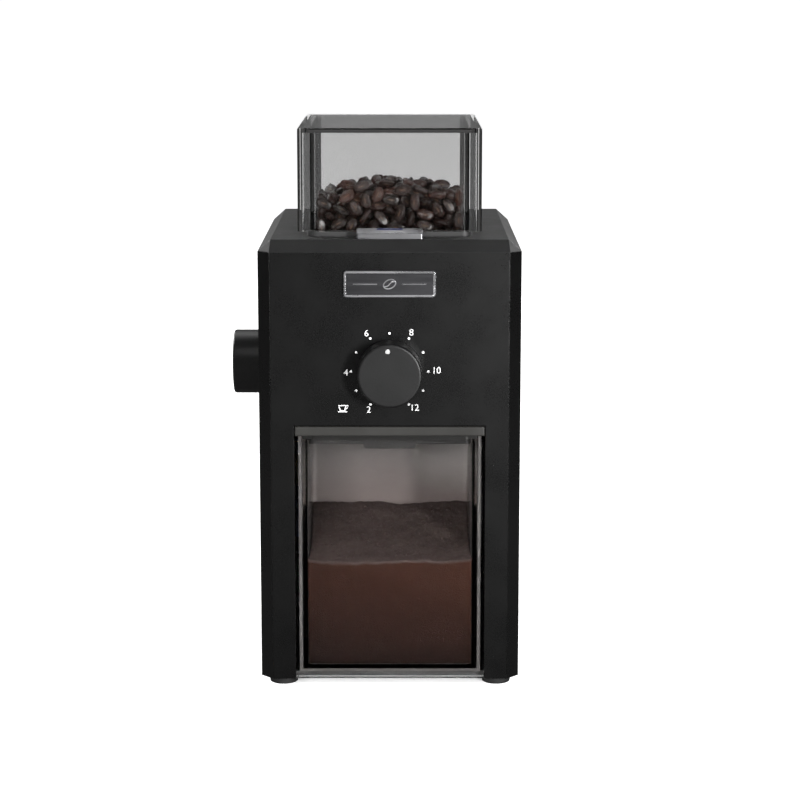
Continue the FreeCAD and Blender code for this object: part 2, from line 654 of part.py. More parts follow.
def make_housing_shell():
    """Octagonal sleeve, open in front and behind, with lips, plate ledges and board studs."""
    outer = octagon(both("body_half_x"), both("body_half_y"), "corner_cut")
    inner = octagon(both("body_half_x-wall"), both("body_half_y-wall"), INNER_LEG)
    sleeve = padded("sleeve", "XY_Plane", [outer, inner], "base_z", "shoulder_z-base_z")
    front = box("front_opening", both("panel_half_x+rest_gap"), ("-body_half_y-1", "-(body_half_y-wall)"),
                ("base_z-1", "shoulder_z+1"))
    rear = box("rear_opening", both("rear_half_x"), ("body_half_y-wall-1", "body_half_y+1"),
               ("rear_low_z", "rear_high_z"))
    bush_hole = rod("bush_hole", "bush_radius", ("-body_half_x-1", "burr_y", "grind_z"), "wall+2", "x")
    gaps = [front, rear, bush_hole]
    added = []
    for side in ("-1", "1"):
        lip = sorted(["lip_inner_x*" + side, "lip_outer_x*" + side], key=value)
        added.append(box("front_lip", lip, ("-(body_half_y-wall)", "lip_depth-(body_half_y-wall)"),
                         ("floor_top_z+fit_gap", "shoulder_z-skirt_depth-fit_gap")))
        for middle in ("ledge_front_y", "ledge_rear_y"):
            shelf = sorted(["ledge_inner_x*" + side, "(body_half_x-wall/2)*" + side], key=value)
            added.append(box("plate_ledge", shelf, (middle + "-ledge_length/2", middle + "+ledge_length/2"),
                             ("lower_plate_low_z-ledge_height", "lower_plate_low_z")))
            gaps.append(rod("ledge_hole", "screw_radius",
                            ("ledge_screw_x*" + side, middle, "lower_plate_low_z-ledge_height-1"),
                            "ledge_height+2"))
        for height in ("rear_screw_low_z", "rear_screw_high_z"):
            gaps.append(rod("rear_hole", "screw_radius",
                            ("rear_screw_x*" + side, "body_half_y-wall-1", height), "wall+2", "y"))
    for along in ("board_front_y+stud_inset", "board_rear_y-stud_inset"):
        for height in ("board_low_z+stud_inset", "board_high_z-stud_inset"):
            added.append(rod("board_stud", "stud_radius", ("-(body_half_x-wall/2)", along, height),
                             "body_half_x-wall/2+board_x-board_thick", "x"))
    name_part(cut("shell_with_holes", fuse("shell_with_ribs", sleeve, *added), *gaps), "housing_shell")


def make_front_panel():
    """Flat front, open below for the container, with the hole for the cup dial's bush."""
    opening = "drawer_half_x+drawer_gap"
    corners = [
        (minus("panel_half_x"), "base_z"), (minus(opening), "base_z"),
        (minus(opening), "opening_high_z"), (opening, "opening_high_z"),
        (opening, "base_z"), ("panel_half_x", "base_z"),
        ("panel_half_x", "shoulder_z"), (minus("panel_half_x"), "shoulder_z"),
    ]
    plate = padded("panel", "XZ_Plane", [corners], "body_half_y-wall", "wall")
    hole = rod("cup_hole", "pot_bush_radius+rest_gap*2", ("0", "-body_half_y-1", "cup_z"), "wall+2", "y")
    name_part(cut("panel_with_hole", plate, hole), "front_panel")


def hipped_block(name, half_x, half_y, leg, inset, low, high):
    """A cap with an octagonal foot and a rectangular top, its corners three-sided facets."""
    wide, deep = value(half_x), value(half_y)
    step, inward = value(leg), value(inset)
    foot = []
    for sign_x, sign_y, order in ((-1, -1, 1), (1, -1, -1), (1, 1, 1), (-1, 1, -1)):
        on_side = FreeCAD.Vector(sign_x * wide, sign_y * (deep - step), value(low))
        on_front = FreeCAD.Vector(sign_x * (wide - step), sign_y * deep, value(low))
        foot.append((on_side, on_front) if order == 1 else (on_front, on_side))
    top = [FreeCAD.Vector(sign_x * (wide - inward), sign_y * (deep - inward), value(high))
           for sign_x, sign_y in ((-1, -1), (1, -1), (1, 1), (-1, 1))]
    loops = [[point for pair in foot for point in pair], top]
    for index in range(4):
        following = (index + 1) % 4
        loops.append([foot[index][0], foot[index][1], top[index]])
        loops.append([foot[index][1], foot[following][0], top[following], top[index]])
    faces = [Part.Face(Part.makePolygon(loop + loop[:1])) for loop in loops]
    solid = Part.Solid(Part.makeShell(faces))
    if solid.Volume < 0:
        solid.reverse()
    return direct_shape(name, solid)


def make_top_cover():
    """Chamfered cap with a locating skirt, the hopper's opening and the button's slot."""
    outer = hipped_block("cap_outside", "body_half_x", "body_half_y", "corner_cut", "top_inset",
                         "shoulder_z", "top_z")
    inner = hipped_block("cap_inside", "body_half_x-wall", "body_half_y-wall", INNER_LEG,
                         "top_inset-wall/3", "shoulder_z", "top_z-wall")
    skirt_x = "body_half_x-wall-fit_gap"
    skirt_y = "body_half_y-wall-fit_gap"
    skirt = padded("skirt", "XY_Plane", [
        octagon(both(skirt_x), both(skirt_y), INNER_LEG),
        octagon(both(skirt_x + "-skirt_wall"), both(skirt_y + "-skirt_wall"), INNER_LEG),
    ], "shoulder_z-skirt_depth", "skirt_depth+skirt_rise")
    hopper_hole = box("hopper_hole", both("hopper_half_x"), ("hopper_front_y", "hopper_rear_y"),
                      ("shoulder_z", "top_z+1"))
    button_hole = box("button_hole", both("button_half_x+button_gap"),
                      ("button_front_y-button_gap", "button_rear_y+button_gap"),
                      ("shoulder_z", "top_z+1"))
    plunger_hole = rod("plunger_hole", "plunger_radius+hole_gap", ("0", "lid_switch_y", "shoulder_z"),
                       "top_z+1-shoulder_z")
    hollow = cut("cap_hollow", outer, inner, hopper_hole, button_hole, plunger_hole)
    name_part(fuse("cap_with_skirt", hollow, skirt), "top_cover")


def make_base_plate():
    """Floor of the housing, with cooling slots under the motor."""
    foot = octagon(both("body_half_x-wall-rest_gap*2"), ("base_front_y", "body_half_y-wall-rest_gap*2"),
                   "corner_cut")
    plate = padded("floor", "XY_Plane", [foot], "base_z", "floor_top_z-base_z")
    gaps = []
    for index in range(int(value("floor_slot_count"))):
        middle = "motor_y+louvre_pitch*(%d-(floor_slot_count-1)/2)" % index
        gaps.append(box("floor_slot", both("floor_slot_half_x"),
                        (middle + "-louvre_height/2", middle + "+louvre_height/2"),
                        ("base_z-1", "floor_top_z+1")))
    for side in ("-1", "1"):
        for end in ("-1", "1"):
            gaps.append(rod("floor_hole", "screw_radius",
                            ("base_screw_x*" + side, "base_screw_y*" + end, "base_z-1"), "wall+2"))
    name_part(cut("floor_with_slots", plate, *gaps), "base_plate")


def make_rear_cover():
    """Panel in the rear opening, flanged behind the wall, with louvres for the motor's air."""
    panel = box("rear_panel", both("rear_half_x-fit_gap"), ("body_half_y-wall-flange_depth", "body_half_y"),
                ("rear_low_z+fit_gap", "rear_high_z-fit_gap"))
    flange = box("rear_flange_plate", both("rear_half_x+rear_flange"),
                 ("body_half_y-wall-flange_depth", "body_half_y-wall-rest_gap"),
                 ("rear_low_z-flange_rise", "rear_high_z+flange_rise"))
    hollow = box("rear_hollow", both("rear_half_x-wall"),
                 ("body_half_y-wall-flange_depth-1", "body_half_y-wall"),
                 ("rear_low_z+wall", "rear_high_z-wall"))
    gaps = [hollow, rod("gland_hole", "gland_neck", ("gland_x", "body_half_y-wall-1", "gland_z"),
                        "wall+2", "y")]
    for index in range(int(value("louvre_count"))):
        height = "louvre_low_z+louvre_pitch*%d" % index
        gaps.append(box("louvre", both("louvre_half_x"), ("body_half_y-wall-1", "body_half_y+1"),
                        (height + "-louvre_height/2", height + "+louvre_height/2")))
        for side in ("-louvre_half_x", "louvre_half_x"):
            gaps.append(rod("louvre_end", "louvre_height/2", (side, "body_half_y-wall-1", height),
                            "wall+2", "y"))
    for side in ("-1", "1"):
        for height in ("rear_screw_low_z", "rear_screw_high_z"):
            gaps.append(rod("flange_hole", "screw_radius",
                            ("rear_screw_x*" + side, "body_half_y-wall-flange_depth-1", height),
                            "flange_depth+2", "y"))
    name_part(cut("rear_with_louvres", fuse("rear_blank", panel, flange), *gaps), "rear_cover")


def make_rubber_feet():
    """Four tapered feet under the base plate."""
    feet = []
    for across in ("-foot_x", "foot_x"):
        for along in ("foot_front_y", "foot_rear_y"):
            feet.append(cone("foot", "foot_radius", "foot_top_radius", (across, along, "0"), "base_z"))
    name_part(fuse("feet", *feet), "rubber_feet")


def make_badge_plate():
    """Blank metal nameplate with rounded corners."""
    blank = box("badge_blank", both("badge_half_x"), ("-body_half_y-badge_depth", "-body_half_y"),
                ("badge_low_z", "badge_high_z"))
    plate = rounded("badge_corners", blank, "badge_round", lambda edge: runs_along(edge, "y"))
    name_part(plate, "badge_plate")


def make_cord_gland():
    """Rubber grommet in the rear cover that the mains lead passes through."""
    inner = "body_half_y-wall-gland_inner_depth"
    seat = "body_half_y-wall-rest_gap"
    profile = [
        ("gland_bore", inner), ("gland_inner_flange", inner),
        ("gland_inner_flange", seat), ("gland_neck-slip*2", seat),
        ("gland_neck-slip*2", "body_half_y"), ("gland_flange", "body_half_y"),
        ("gland_flange-gland_taper", "body_half_y+gland_reach"), ("gland_bore", "body_half_y+gland_reach"),
    ]
    name_part(revolved("gland", profile, "y"), "cord_gland", "gland_x", "0", "gland_z")


def screw(name, start, along, way):
    """A pan-head screw with a cross recess; way is +1 or -1, from the head to the tip."""
    under_head = ("screw_head_height", "screw_head_height+screw_length")
    shank = "screw_radius-slip*2"
    profile = [("0", "0"), ("screw_head_radius-screw_head_inset", "0"),
               ("screw_head_radius", "screw_head_bevel"), ("screw_head_radius", under_head[0]),
               (shank, under_head[0]), (shank, under_head[1] + "-screw_point"),
               ("screw_radius/2", under_head[1]), ("0", under_head[1])]
    turned_body = revolved(name + "_turned", profile)
    arms = [box(name + "_arm", both(wide), both(deep), ("-1", "recess_depth"))
            for wide, deep in (("recess_arm", "recess_width/2"), ("recess_width/2", "recess_arm"))]
    made = cut(name, turned_body, *arms)
    direction = {"y": FreeCAD.Vector(0, way, 0), "z": FreeCAD.Vector(0, 0, way)}[along]
    made.Placement = FreeCAD.Placement(FreeCAD.Vector(), FreeCAD.Rotation(FreeCAD.Vector(0, 0, 1), direction))
    bind_place(made, *start)
    return made


def make_screws():
    """Rear cover, base and plate screws, each set in one group of separate solids."""
    rear, base, plate = [], [], []
    for side in ("-1", "1"):
        for height in ("rear_screw_low_z", "rear_screw_high_z"):
            rear.append(screw("rear_screw", ("rear_screw_x*" + side, "body_half_y+screw_head_height", height),
                              "y", -1))
        for end in ("-1", "1"):
            base.append(screw("base_screw", ("base_screw_x*" + side, "base_screw_y*" + end,
                                             "base_z-screw_head_height"), "z", 1))
        for middle in ("ledge_front_y", "ledge_rear_y"):
            plate.append(screw("plate_screw", ("ledge_screw_x*" + side, middle,
                                               "lower_plate_high_z+screw_head_height"), "z", -1))
    name_part(fuse("rear_screw_set", *rear), "rear_cover_screws")
    name_part(fuse("base_screw_set", *base), "base_screws")
    name_part(fuse("plate_screw_set", *plate), "gear_plate_screws")


# ---- Hopper ----

def make_hopper():
    """Clear four-sided bean bin, open above and below."""
    walls = rounded_block("hopper_outside", both("hopper_half_x"), ("hopper_front_y", "hopper_rear_y"),
                          ("hopper_low_z", "hopper_high_z"), "hopper_corner")
    hollow = rounded_block("hopper_inside", both("hopper_half_x-hopper_wall"),
                           ("hopper_front_y+hopper_wall", "hopper_rear_y-hopper_wall"),
                           ("hopper_low_z-1", "hopper_high_z+1"), "hopper_inner_corner")
    name_part(cut("hopper_walls", walls, hollow), "hopper")


def make_hopper_lid():
    """Clear cover that drops over the whole hopper."""
    block = rounded_block("lid_outside", both("lid_half_x"), ("lid_front_y", "lid_rear_y"),
                          ("lid_low_z", "lid_top_z"), "lid_corner")
    edged = rounded("lid_edged", block, "lid_edge", lambda edge: lies_at(edge, "z", "lid_top_z"))
    hollow = rounded_block("lid_inside", both("lid_half_x-lid_wall"),
                           ("lid_front_y+lid_wall", "lid_rear_y-lid_wall"),
                           ("lid_low_z-1", "lid_top_z-lid_wall"), "lid_corner/2")
    name_part(cut("lid_walls", edged, hollow), "hopper_lid")


def make_hopper_funnel():
    """Collar that seats the hopper, with a neck and a slope down to the burrs' spout."""
    spout_x = both("spout_half+spout_wall")
    spout_y = ("burr_y-spout_half-spout_wall", "burr_y+spout_half+spout_wall")
    neck = octagon(both("hopper_half_x-neck_inset"),
                   ("hopper_front_y+neck_inset", "hopper_rear_y-neck_inset"), "hopper_corner")
    spout = octagon(spout_x, spout_y, "spout_cut")
    body = new_body("funnel_body")
    neck_sketch = outline(body, "funnel_neck", "XY_Plane", [neck], "neck_low_z")
    spout_sketch = outline(body, "funnel_spout", "XY_Plane", [spout], "spout_high_z")
    slope = add_feature(body, "AdditiveLoft", "funnel_slope", neck_sketch)
    slope.Sections = [spout_sketch]
    slope.Ruled = True
    for name, corners, level, length in (
            ("neck_rise", neck, "neck_low_z", "top_z-neck_low_z"),
            ("spout_drop", spout, "spout_low_z", "spout_high_z-spout_low_z")):
        sketch = outline(body, name + "_outline", "XY_Plane", [corners], level)
        rise = add_feature(body, "Pad", name, sketch)
        rise.setExpression("Length", bound(length))
    collar = rounded_block("collar", both("hopper_half_x+collar_rim"),
                           ("hopper_front_y-collar_rim", "hopper_rear_y+collar_rim"),
                           ("top_z", "lid_low_z"), "hopper_corner+collar_rim")
    seat = rounded_block("hopper_seat", both("hopper_half_x+rest_gap"),
                         ("hopper_front_y-rest_gap", "hopper_rear_y+rest_gap"),
                         ("hopper_low_z", "lid_low_z+1"), "hopper_corner")
    inside = new_body("funnel_inside")
    bore = octagon(both("hopper_half_x-hopper_wall"),
                   ("hopper_front_y+hopper_wall", "hopper_rear_y-hopper_wall"), "bore_cut")
    throat = octagon(both("spout_half"), ("burr_y-spout_half", "burr_y+spout_half"), "throat_cut")
    bore_sketch = outline(inside, "funnel_bore", "XY_Plane", [bore], "neck_low_z")
    throat_sketch = outline(inside, "funnel_throat", "XY_Plane", [throat], "spout_high_z")
    hollow = add_feature(inside, "AdditiveLoft", "funnel_hollow", bore_sketch)
    hollow.Sections = [throat_sketch]
    hollow.Ruled = True
    for name, corners, level, length in (
            ("bore_rise", bore, "neck_low_z", "lid_low_z+1-neck_low_z"),
            ("throat_drop", throat, "spout_low_z-1", "spout_high_z-spout_low_z+1")):
        sketch = outline(inside, name + "_outline", "XY_Plane", [corners], level)
        rise = add_feature(inside, "Pad", name, sketch)
        rise.setExpression("Length", bound(length))
    name_part(cut("funnel", fuse("funnel_solid", body, collar), seat, inside), "hopper_funnel")


# ---- Start button ----

def make_start_button():
    """Bar with a sloping top, and the keeper flange that holds it under the cover."""
    side = [("button_front_y", "keeper_low_z"), ("button_rear_y", "keeper_low_z"),
            ("button_rear_y", "button_rear_z"), ("button_front_y", "button_front_z")]
    bar = padded("button_bar", "YZ_Plane", [side], "-button_half_x", "button_half_x*2")
    corners = rounded("button_corners", bar, "button_corner", lambda edge: runs_along(edge, "z"))
    edged = rounded("button_edges", corners, "button_edge",
                    lambda edge: edge.BoundBox.ZMin > value("top_z+1"))
    keeper = box("button_keeper", both("keeper_half_x"), ("keeper_front_y", "keeper_rear_y"),
                 ("keeper_low_z", "keeper_high_z"))
    name_part(fuse("button_with_keeper", edged, keeper), "start_button")


def make_button_spring():
    """Round-wire compression spring under the button's keeper."""
    radius, wire = value("spring_radius"), value("spring_wire")
    low = value("spring_low_z+spring_wire+rest_gap")
    high = value("keeper_low_z-spring_wire-rest_gap")
    path = Part.makeLongHelix((high - low) / value("spring_turns"), high - low, radius)
    section = Part.Wire(Part.makeCircle(wire, FreeCAD.Vector(radius, 0, 0), FreeCAD.Vector(0, 1, 0)))
    coil = Part.Wire(path.Edges).makePipeShell([section], True, True)
    name_part(direct_shape("button_coil", coil), "button_spring", "spring_x", "spring_y",
              "spring_low_z+spring_wire+rest_gap")


def make_switch_bracket():
    """Folded bracket that hangs under the top cover and carries switch and spring."""
    high = "top_z-wall"
    pieces = [box("bracket_shelf", both("bracket_half_x"), ("bracket_front_y", "bracket_rear_y"),
                  ("bracket_low_z", "bracket_low_z+bracket_sheet"))]
    for side in ("-1", "1"):
        leg = sorted(["bracket_half_x*" + side, "(bracket_half_x-bracket_sheet)*" + side], key=value)
        pieces.append(box("bracket_leg", leg, ("bracket_leg_y", "bracket_rear_y"), ("bracket_low_z", high)))
    pieces.append(rod("spring_seat", "seat_radius", ("spring_x", "spring_y", "bracket_low_z"),
                      "spring_low_z-bracket_low_z"))
    name_part(fuse("bracket", *pieces), "switch_bracket")


def make_switches():
    """Microswitches for the button, the hopper lid and the container."""
    start = [box("start_case", ("start_switch_left_x", "start_switch_right_x"),
                 ("start_switch_front_y", "start_switch_rear_y"),
                 ("bracket_low_z+bracket_sheet", "switch_high_z")),
             rod("start_plunger", "plunger_radius", ("start_plunger_x", "spring_y", "switch_high_z-1"),
                 "switch_plunger_z-switch_high_z+1")]
    name_part(fuse("start_microswitch", *start), "start_switch")
    lid = [box("lid_case", both("lid_switch_half_x"),
               ("lid_switch_y-lid_switch_front", "lid_switch_y+lid_switch_rear"),
               ("lid_switch_low_z", "lid_switch_high_z")),
           rod("lid_plunger", "plunger_radius", ("0", "lid_switch_y", "lid_switch_high_z-1"),
               "lid_low_z-fit_gap-lid_switch_high_z+1")]
    name_part(fuse("lid_microswitch", *lid), "lid_switch")
    middle = "bay_switch_z+bay_switch_height/2"
    bay = [box("bay_case", both("bay_switch_half_x"),
               ("bay_rear_y+bay_wall", "bay_rear_y+bay_wall+bay_switch_depth"),
               ("bay_switch_z", "bay_switch_z+bay_switch_height")),
           rod("bay_plunger", "plunger_radius", ("bay_plunger_x", "bin_rear_y+fit_gap", middle),
               "bay_plunger_length", "y")]
    name_part(fuse("bay_microswitch", *bay), "container_switch")


# ---- Container ----

def make_container():
    """Clear grounds container: a bin with a wider front plate."""
    front = "-body_half_y+drawer_plate"
    plate = box("drawer_front", both("drawer_half_x"), ("-body_half_y", front), ("base_z", "bin_high_z"))
    smooth = rounded("drawer_edges", plate, "plate_edge", lambda edge: lies_at(edge, "y", "-body_half_y"))
    outside = box("bin_outside", both("bin_half_x"), (front, "bin_rear_y"), ("bin_low_z", "bin_high_z"))
    shaped = rounded("bin_corners", outside, "bin_corner",
                     lambda edge: runs_along(edge, "z") and lies_at(edge, "y", "bin_rear_y"))
    inside = box("bin_inside_block", both("bin_half_x-bin_wall"),
                 ("-body_half_y+bin_front_wall", "bin_rear_y-bin_wall"), ("bin_floor_z", "bin_high_z+1"))
    hollow = rounded("bin_inside", inside, "bin_corner-bin_wall", lambda edge: runs_along(edge, "z"))
    name_part(cut("bin", fuse("bin_solid", smooth, shaped), hollow), "container")


def make_container_lid():
    """Lid with a front band, a skirt inside the container, a tongue on it and the chute's hole."""
    front = "-body_half_y+drawer_plate"
    rim = box("cap_rim_block", both("bin_half_x"), (front, "bin_rear_y"), ("cap_low_z", "cap_high_z"))
    cap = rounded("cap_rim", rim, "bin_corner",
                  lambda edge: runs_along(edge, "z") and lies_at(edge, "y", "bin_rear_y"))
    band = box("cap_band_block", both("drawer_half_x"), ("-body_half_y", front), ("cap_band_z", "cap_high_z"))
    smooth = rounded("cap_band", band, "plate_edge", lambda edge: lies_at(edge, "y", "-body_half_y"))
    side = "bin_half_x-bin_wall-cap_skirt_gap"
    skirt_y = ("-body_half_y+bin_front_wall+cap_skirt_gap", "bin_rear_y-bin_wall-cap_skirt_gap")
    skirt = rounded_block("cap_skirt", both(side), skirt_y, ("cap_skirt_z", "cap_high_z-cap_skin"),
                          "bin_corner-bin_wall")
    inner_y = (skirt_y[0] + "+cap_skirt_wall", skirt_y[1] + "-cap_skirt_wall")
    hollow = rounded_block("cap_hollow_inside", both(side + "-cap_skirt_wall"), inner_y,
                           ("cap_skirt_z-1", "cap_high_z-cap_skin"), "skirt_inner_corner")
    tab = box("cap_tab_block", both("tab_half_x"), (skirt_y[0], inner_y[0]), ("tab_low_z", "cap_skirt_z+1"))
    tongue = rounded("cap_tab", tab, "tab_round",
                     lambda edge: runs_along(edge, "y") and lies_at(edge, "z", "tab_low_z"))
    hole = box("cap_chute_hole", ("chute_left_x+chute_wall", "chute_right_x-chute_wall"),
               ("chute_front_y+chute_wall", "chute_rear_y-chute_wall"), ("cap_low_z", "cap_high_z+1"))
    name_part(cut("cap", fuse("cap_solid", cap, smooth, tongue, skirt), hollow, hole), "container_lid")


def make_container_bay():
    """Liner that the container slides into."""
    outer = box("bay_outside", both("bay_half_x+bay_wall"), ("bay_front_y", "bay_rear_y+bay_wall"),
                ("bay_floor_z-bay_bottom_wall", "bay_ceiling_z+bay_wall"))
    inside = box("bay_inside_block", both("bay_half_x"), ("bay_front_y-1", "bay_rear_y"),
                 ("bay_floor_z", "bay_ceiling_z"))
    hollow = rounded("bay_inside", inside, "bin_corner",
                     lambda edge: runs_along(edge, "z") and lies_at(edge, "y", "bay_rear_y"))
    hole = box("bay_chute_hole", ("chute_left_x-hole_gap", "chute_right_x+hole_gap"),
               ("chute_front_y-hole_gap", "chute_rear_y+hole_gap"),
               ("bay_ceiling_z-1", "bay_ceiling_z+bay_wall+1"))
    switch_hole = rod("bay_switch_hole", "plunger_radius+hole_gap",
                      ("bay_plunger_x", "bay_rear_y-1", "bay_switch_z+bay_switch_height/2"),
                      "bay_wall+2", "y")
    name_part(cut("bay", outer, hollow, hole, switch_hole), "container_bay")


def make_outlet_chute():
    """Duct from the chamber's outlet window to the shaft that drops into the container."""
    shaft = box("chute_outside", ("chute_left_x", "chute_right_x"), ("chute_front_y", "chute_rear_y"),
                ("chute_low_z", "chute_high_z"))
    drop = box("chute_inside", ("chute_left_x+chute_wall", "chute_right_x-chute_wall"),
               ("chute_front_y+chute_wall", "chute_rear_y-chute_wall"),
               ("chute_low_z-1", "chute_high_z-chute_wall"))
    turn = value("duct_turn")
    duct = turned(box("duct_outside", ("duct_start", "duct_end"), both("duct_half"),
                      ("duct_low_z", "chute_high_z")), turn, "0", "burr_y")
    flow = turned(box("duct_inside", ("duct_start-1", "duct_end-1"), both("duct_half-chute_wall"),
                      ("duct_low_z+chute_wall", "chute_high_z-chute_wall")), turn, "0", "burr_y")
    name_part(cut("chute", fuse("chute_solid", shaft, duct), drop, flow), "outlet_chute")


# ---- Dials ----

def dial(name, radius, face, back, along):
    """A cup-shaped dial with rounded rims and a hub, drawn about its own axis."""
    way = "1" if value(back) > value(face) else "-1"
    inside = "(%s)+%s*dial_wall" % (face, way)
    hub_end = "(%s)-%s*dial_hub_inset" % (back, way)
    profile = [
        ("0", face), (radius, face), (radius, back), (radius + "-dial_wall", back),
        (radius + "-dial_wall", inside),
        ("dial_hub_radius", inside), ("dial_hub_radius", hub_end),
        ("pot_shaft_radius", hub_end), ("pot_shaft_radius", inside), ("0", inside),
    ]
    body = revolved(name + "_body", profile, along)
    rim = value(radius)
    smooth = rounded(name + "_face_edge", body, "dial_edge",
                     lambda edge: lies_at(edge, along, face) and edge.Length > 6 * rim)
    return rounded(name + "_back_edge", smooth, "dial_back_edge",
                   lambda edge: lies_at(edge, along, back) and edge.Length > 6 * rim)


def make_cup_dial():
    """Dial with a pointer dimple near its rim, its shaft, and the potentiometer behind it."""
    dimple = rod("dimple", "dimple_radius", ("dimple_x", "cup_face_y-1", "dimple_offset"),
                 "dimple_depth+1", "y")
    knob = cut("cup_dial", dial("cup", "cup_radius", "cup_face_y", "cup_back_y", "y"), dimple)
    name_part(knob, "cup_knob", z="cup_z")
    shaft = ring("0", "pot_shaft_radius-slip", "cup_face_y+dial_wall", "pot_rear_y-pot_shaft_end")
    name_part(revolved("cup_shaft_body", shaft, "y"), "cup_knob_shaft", z="cup_z")
    bore = "pot_shaft_radius-slip+shaft_gap"
    shoulder = "-body_half_y+wall+rest_gap"
    back = "pot_rear_y-pot_back_wall"
    case = [(bore, "pot_bush_y"), ("pot_bush_radius", "pot_bush_y"),
            ("pot_bush_radius", shoulder), ("pot_radius", shoulder),
            ("pot_radius", "pot_rear_y"), ("0", "pot_rear_y"), ("0", back), (bore, back)]
    name_part(revolved("pot_body", case, "y"), "potentiometer", z="cup_z")


def make_grind_dial():
    """Dial on the left wall, its shaft, the bush in the wall and the pinion on the shaft."""
    knob = dial("grind", "grind_radius", "grind_face_x", "grind_back_x", "x")
    name_part(knob, "grind_knob", "0", "burr_y", "grind_z")
    shaft = ring("0", "grind_shaft_radius-slip", "grind_face_x+dial_wall", "grind_shaft_end_x")
    name_part(revolved("grind_shaft_body", shaft, "x"), "grind_shaft", "0", "burr_y", "grind_z")
    bore = "grind_shaft_radius-slip+shaft_gap"
    body = "bush_radius-slip*2"
    outer_end = "-body_half_x-fit_gap"
    flange = ("-body_half_x+wall+rest_gap", "-body_half_x+wall+bush_flange")
    bush = [(bore, outer_end), (body, outer_end), (body, flange[0]), ("bush_flange_radius", flange[0]),
            ("bush_flange_radius", flange[1]), (body, flange[1]), (body, "bush_inner_x"),
            (bore, "bush_inner_x")]
    name_part(revolved("bush_body", bush, "x"), "grind_bush", "0", "burr_y", "grind_z")
    pinion = gear(value("pinion_module"), value("pinion_teeth"), value("grind_shaft_end_x-pinion_start_x"),
                  value("grind_shaft_radius"), 90)
    pinion.rotate(FreeCAD.Vector(), FreeCAD.Vector(0, 0, 1), -90)
    pinion.rotate(FreeCAD.Vector(), FreeCAD.Vector(0, 1, 0), 90)
    pinion.rotate(FreeCAD.Vector(), FreeCAD.Vector(1, 0, 0), 90)
    name_part(direct_shape("pinion_gear", pinion), "grind_pinion", "pinion_start_x", "burr_y", "grind_z")


# ---- Gears ----

def gear(module, teeth, width, bore, phase):
    """An involute spur gear along +Z with a round bore; a tooth points at the phase, in degrees."""
    teeth = int(round(teeth))
    slope = math.radians(value("pressure_angle"))
    pitch = module * teeth / 2
    base = pitch * math.cos(slope)
    tip = pitch + value("tooth_addendum") * module
    root = pitch - value("tooth_dedendum") * module
    half_tooth = (math.pi * module / 2 - value("tooth_backlash")) / 2 / pitch

    def spread(radius):
        """Half of the tooth's angle at a radius."""
        lean = math.acos(min(1, base / radius))
        return half_tooth + (math.tan(slope) - slope) - (math.tan(lean) - lean)

    def at(radius, angle):
        return FreeCAD.Vector(radius * math.cos(angle), radius * math.sin(angle), 0)

    start = max(base, root)
    radii = [start + (tip - start) * step / 4 for step in range(5)]
    edges = []
    for number in range(teeth):
        middle = math.radians(phase) + 2 * math.pi * number / teeth
        following = middle + 2 * math.pi / teeth
        rising = [at(radius, middle - spread(radius)) for radius in radii]
        falling = [at(radius, middle + spread(radius)) for radius in reversed(radii)]
        last = falling[-1]
        next_foot = at(start, following - spread(start))
        root_angles = (middle + spread(start), (middle + following) / 2, following - spread(start))
        root_points = [at(root, angle) for angle in root_angles]
        for flank in (rising, falling):
            curve = Part.BSplineCurve()
            curve.interpolate(flank)
            edges.append(curve.toShape())
            if flank is rising:
                edges.append(Part.Arc(rising[-1], at(tip, middle), falling[0]).toShape())
        if root < start:
            edges.append(Part.LineSegment(last, root_points[0]).toShape())
        edges.append(Part.Arc(*root_points).toShape())
        if root < start:
            edges.append(Part.LineSegment(root_points[2], next_foot).toShape())
    blank = Part.Face(Part.Wire(edges)).extrude(FreeCAD.Vector(0, 0, width))
    return blank.cut(Part.makeCylinder(bore, width + 2, FreeCAD.Vector(0, 0, -1)))


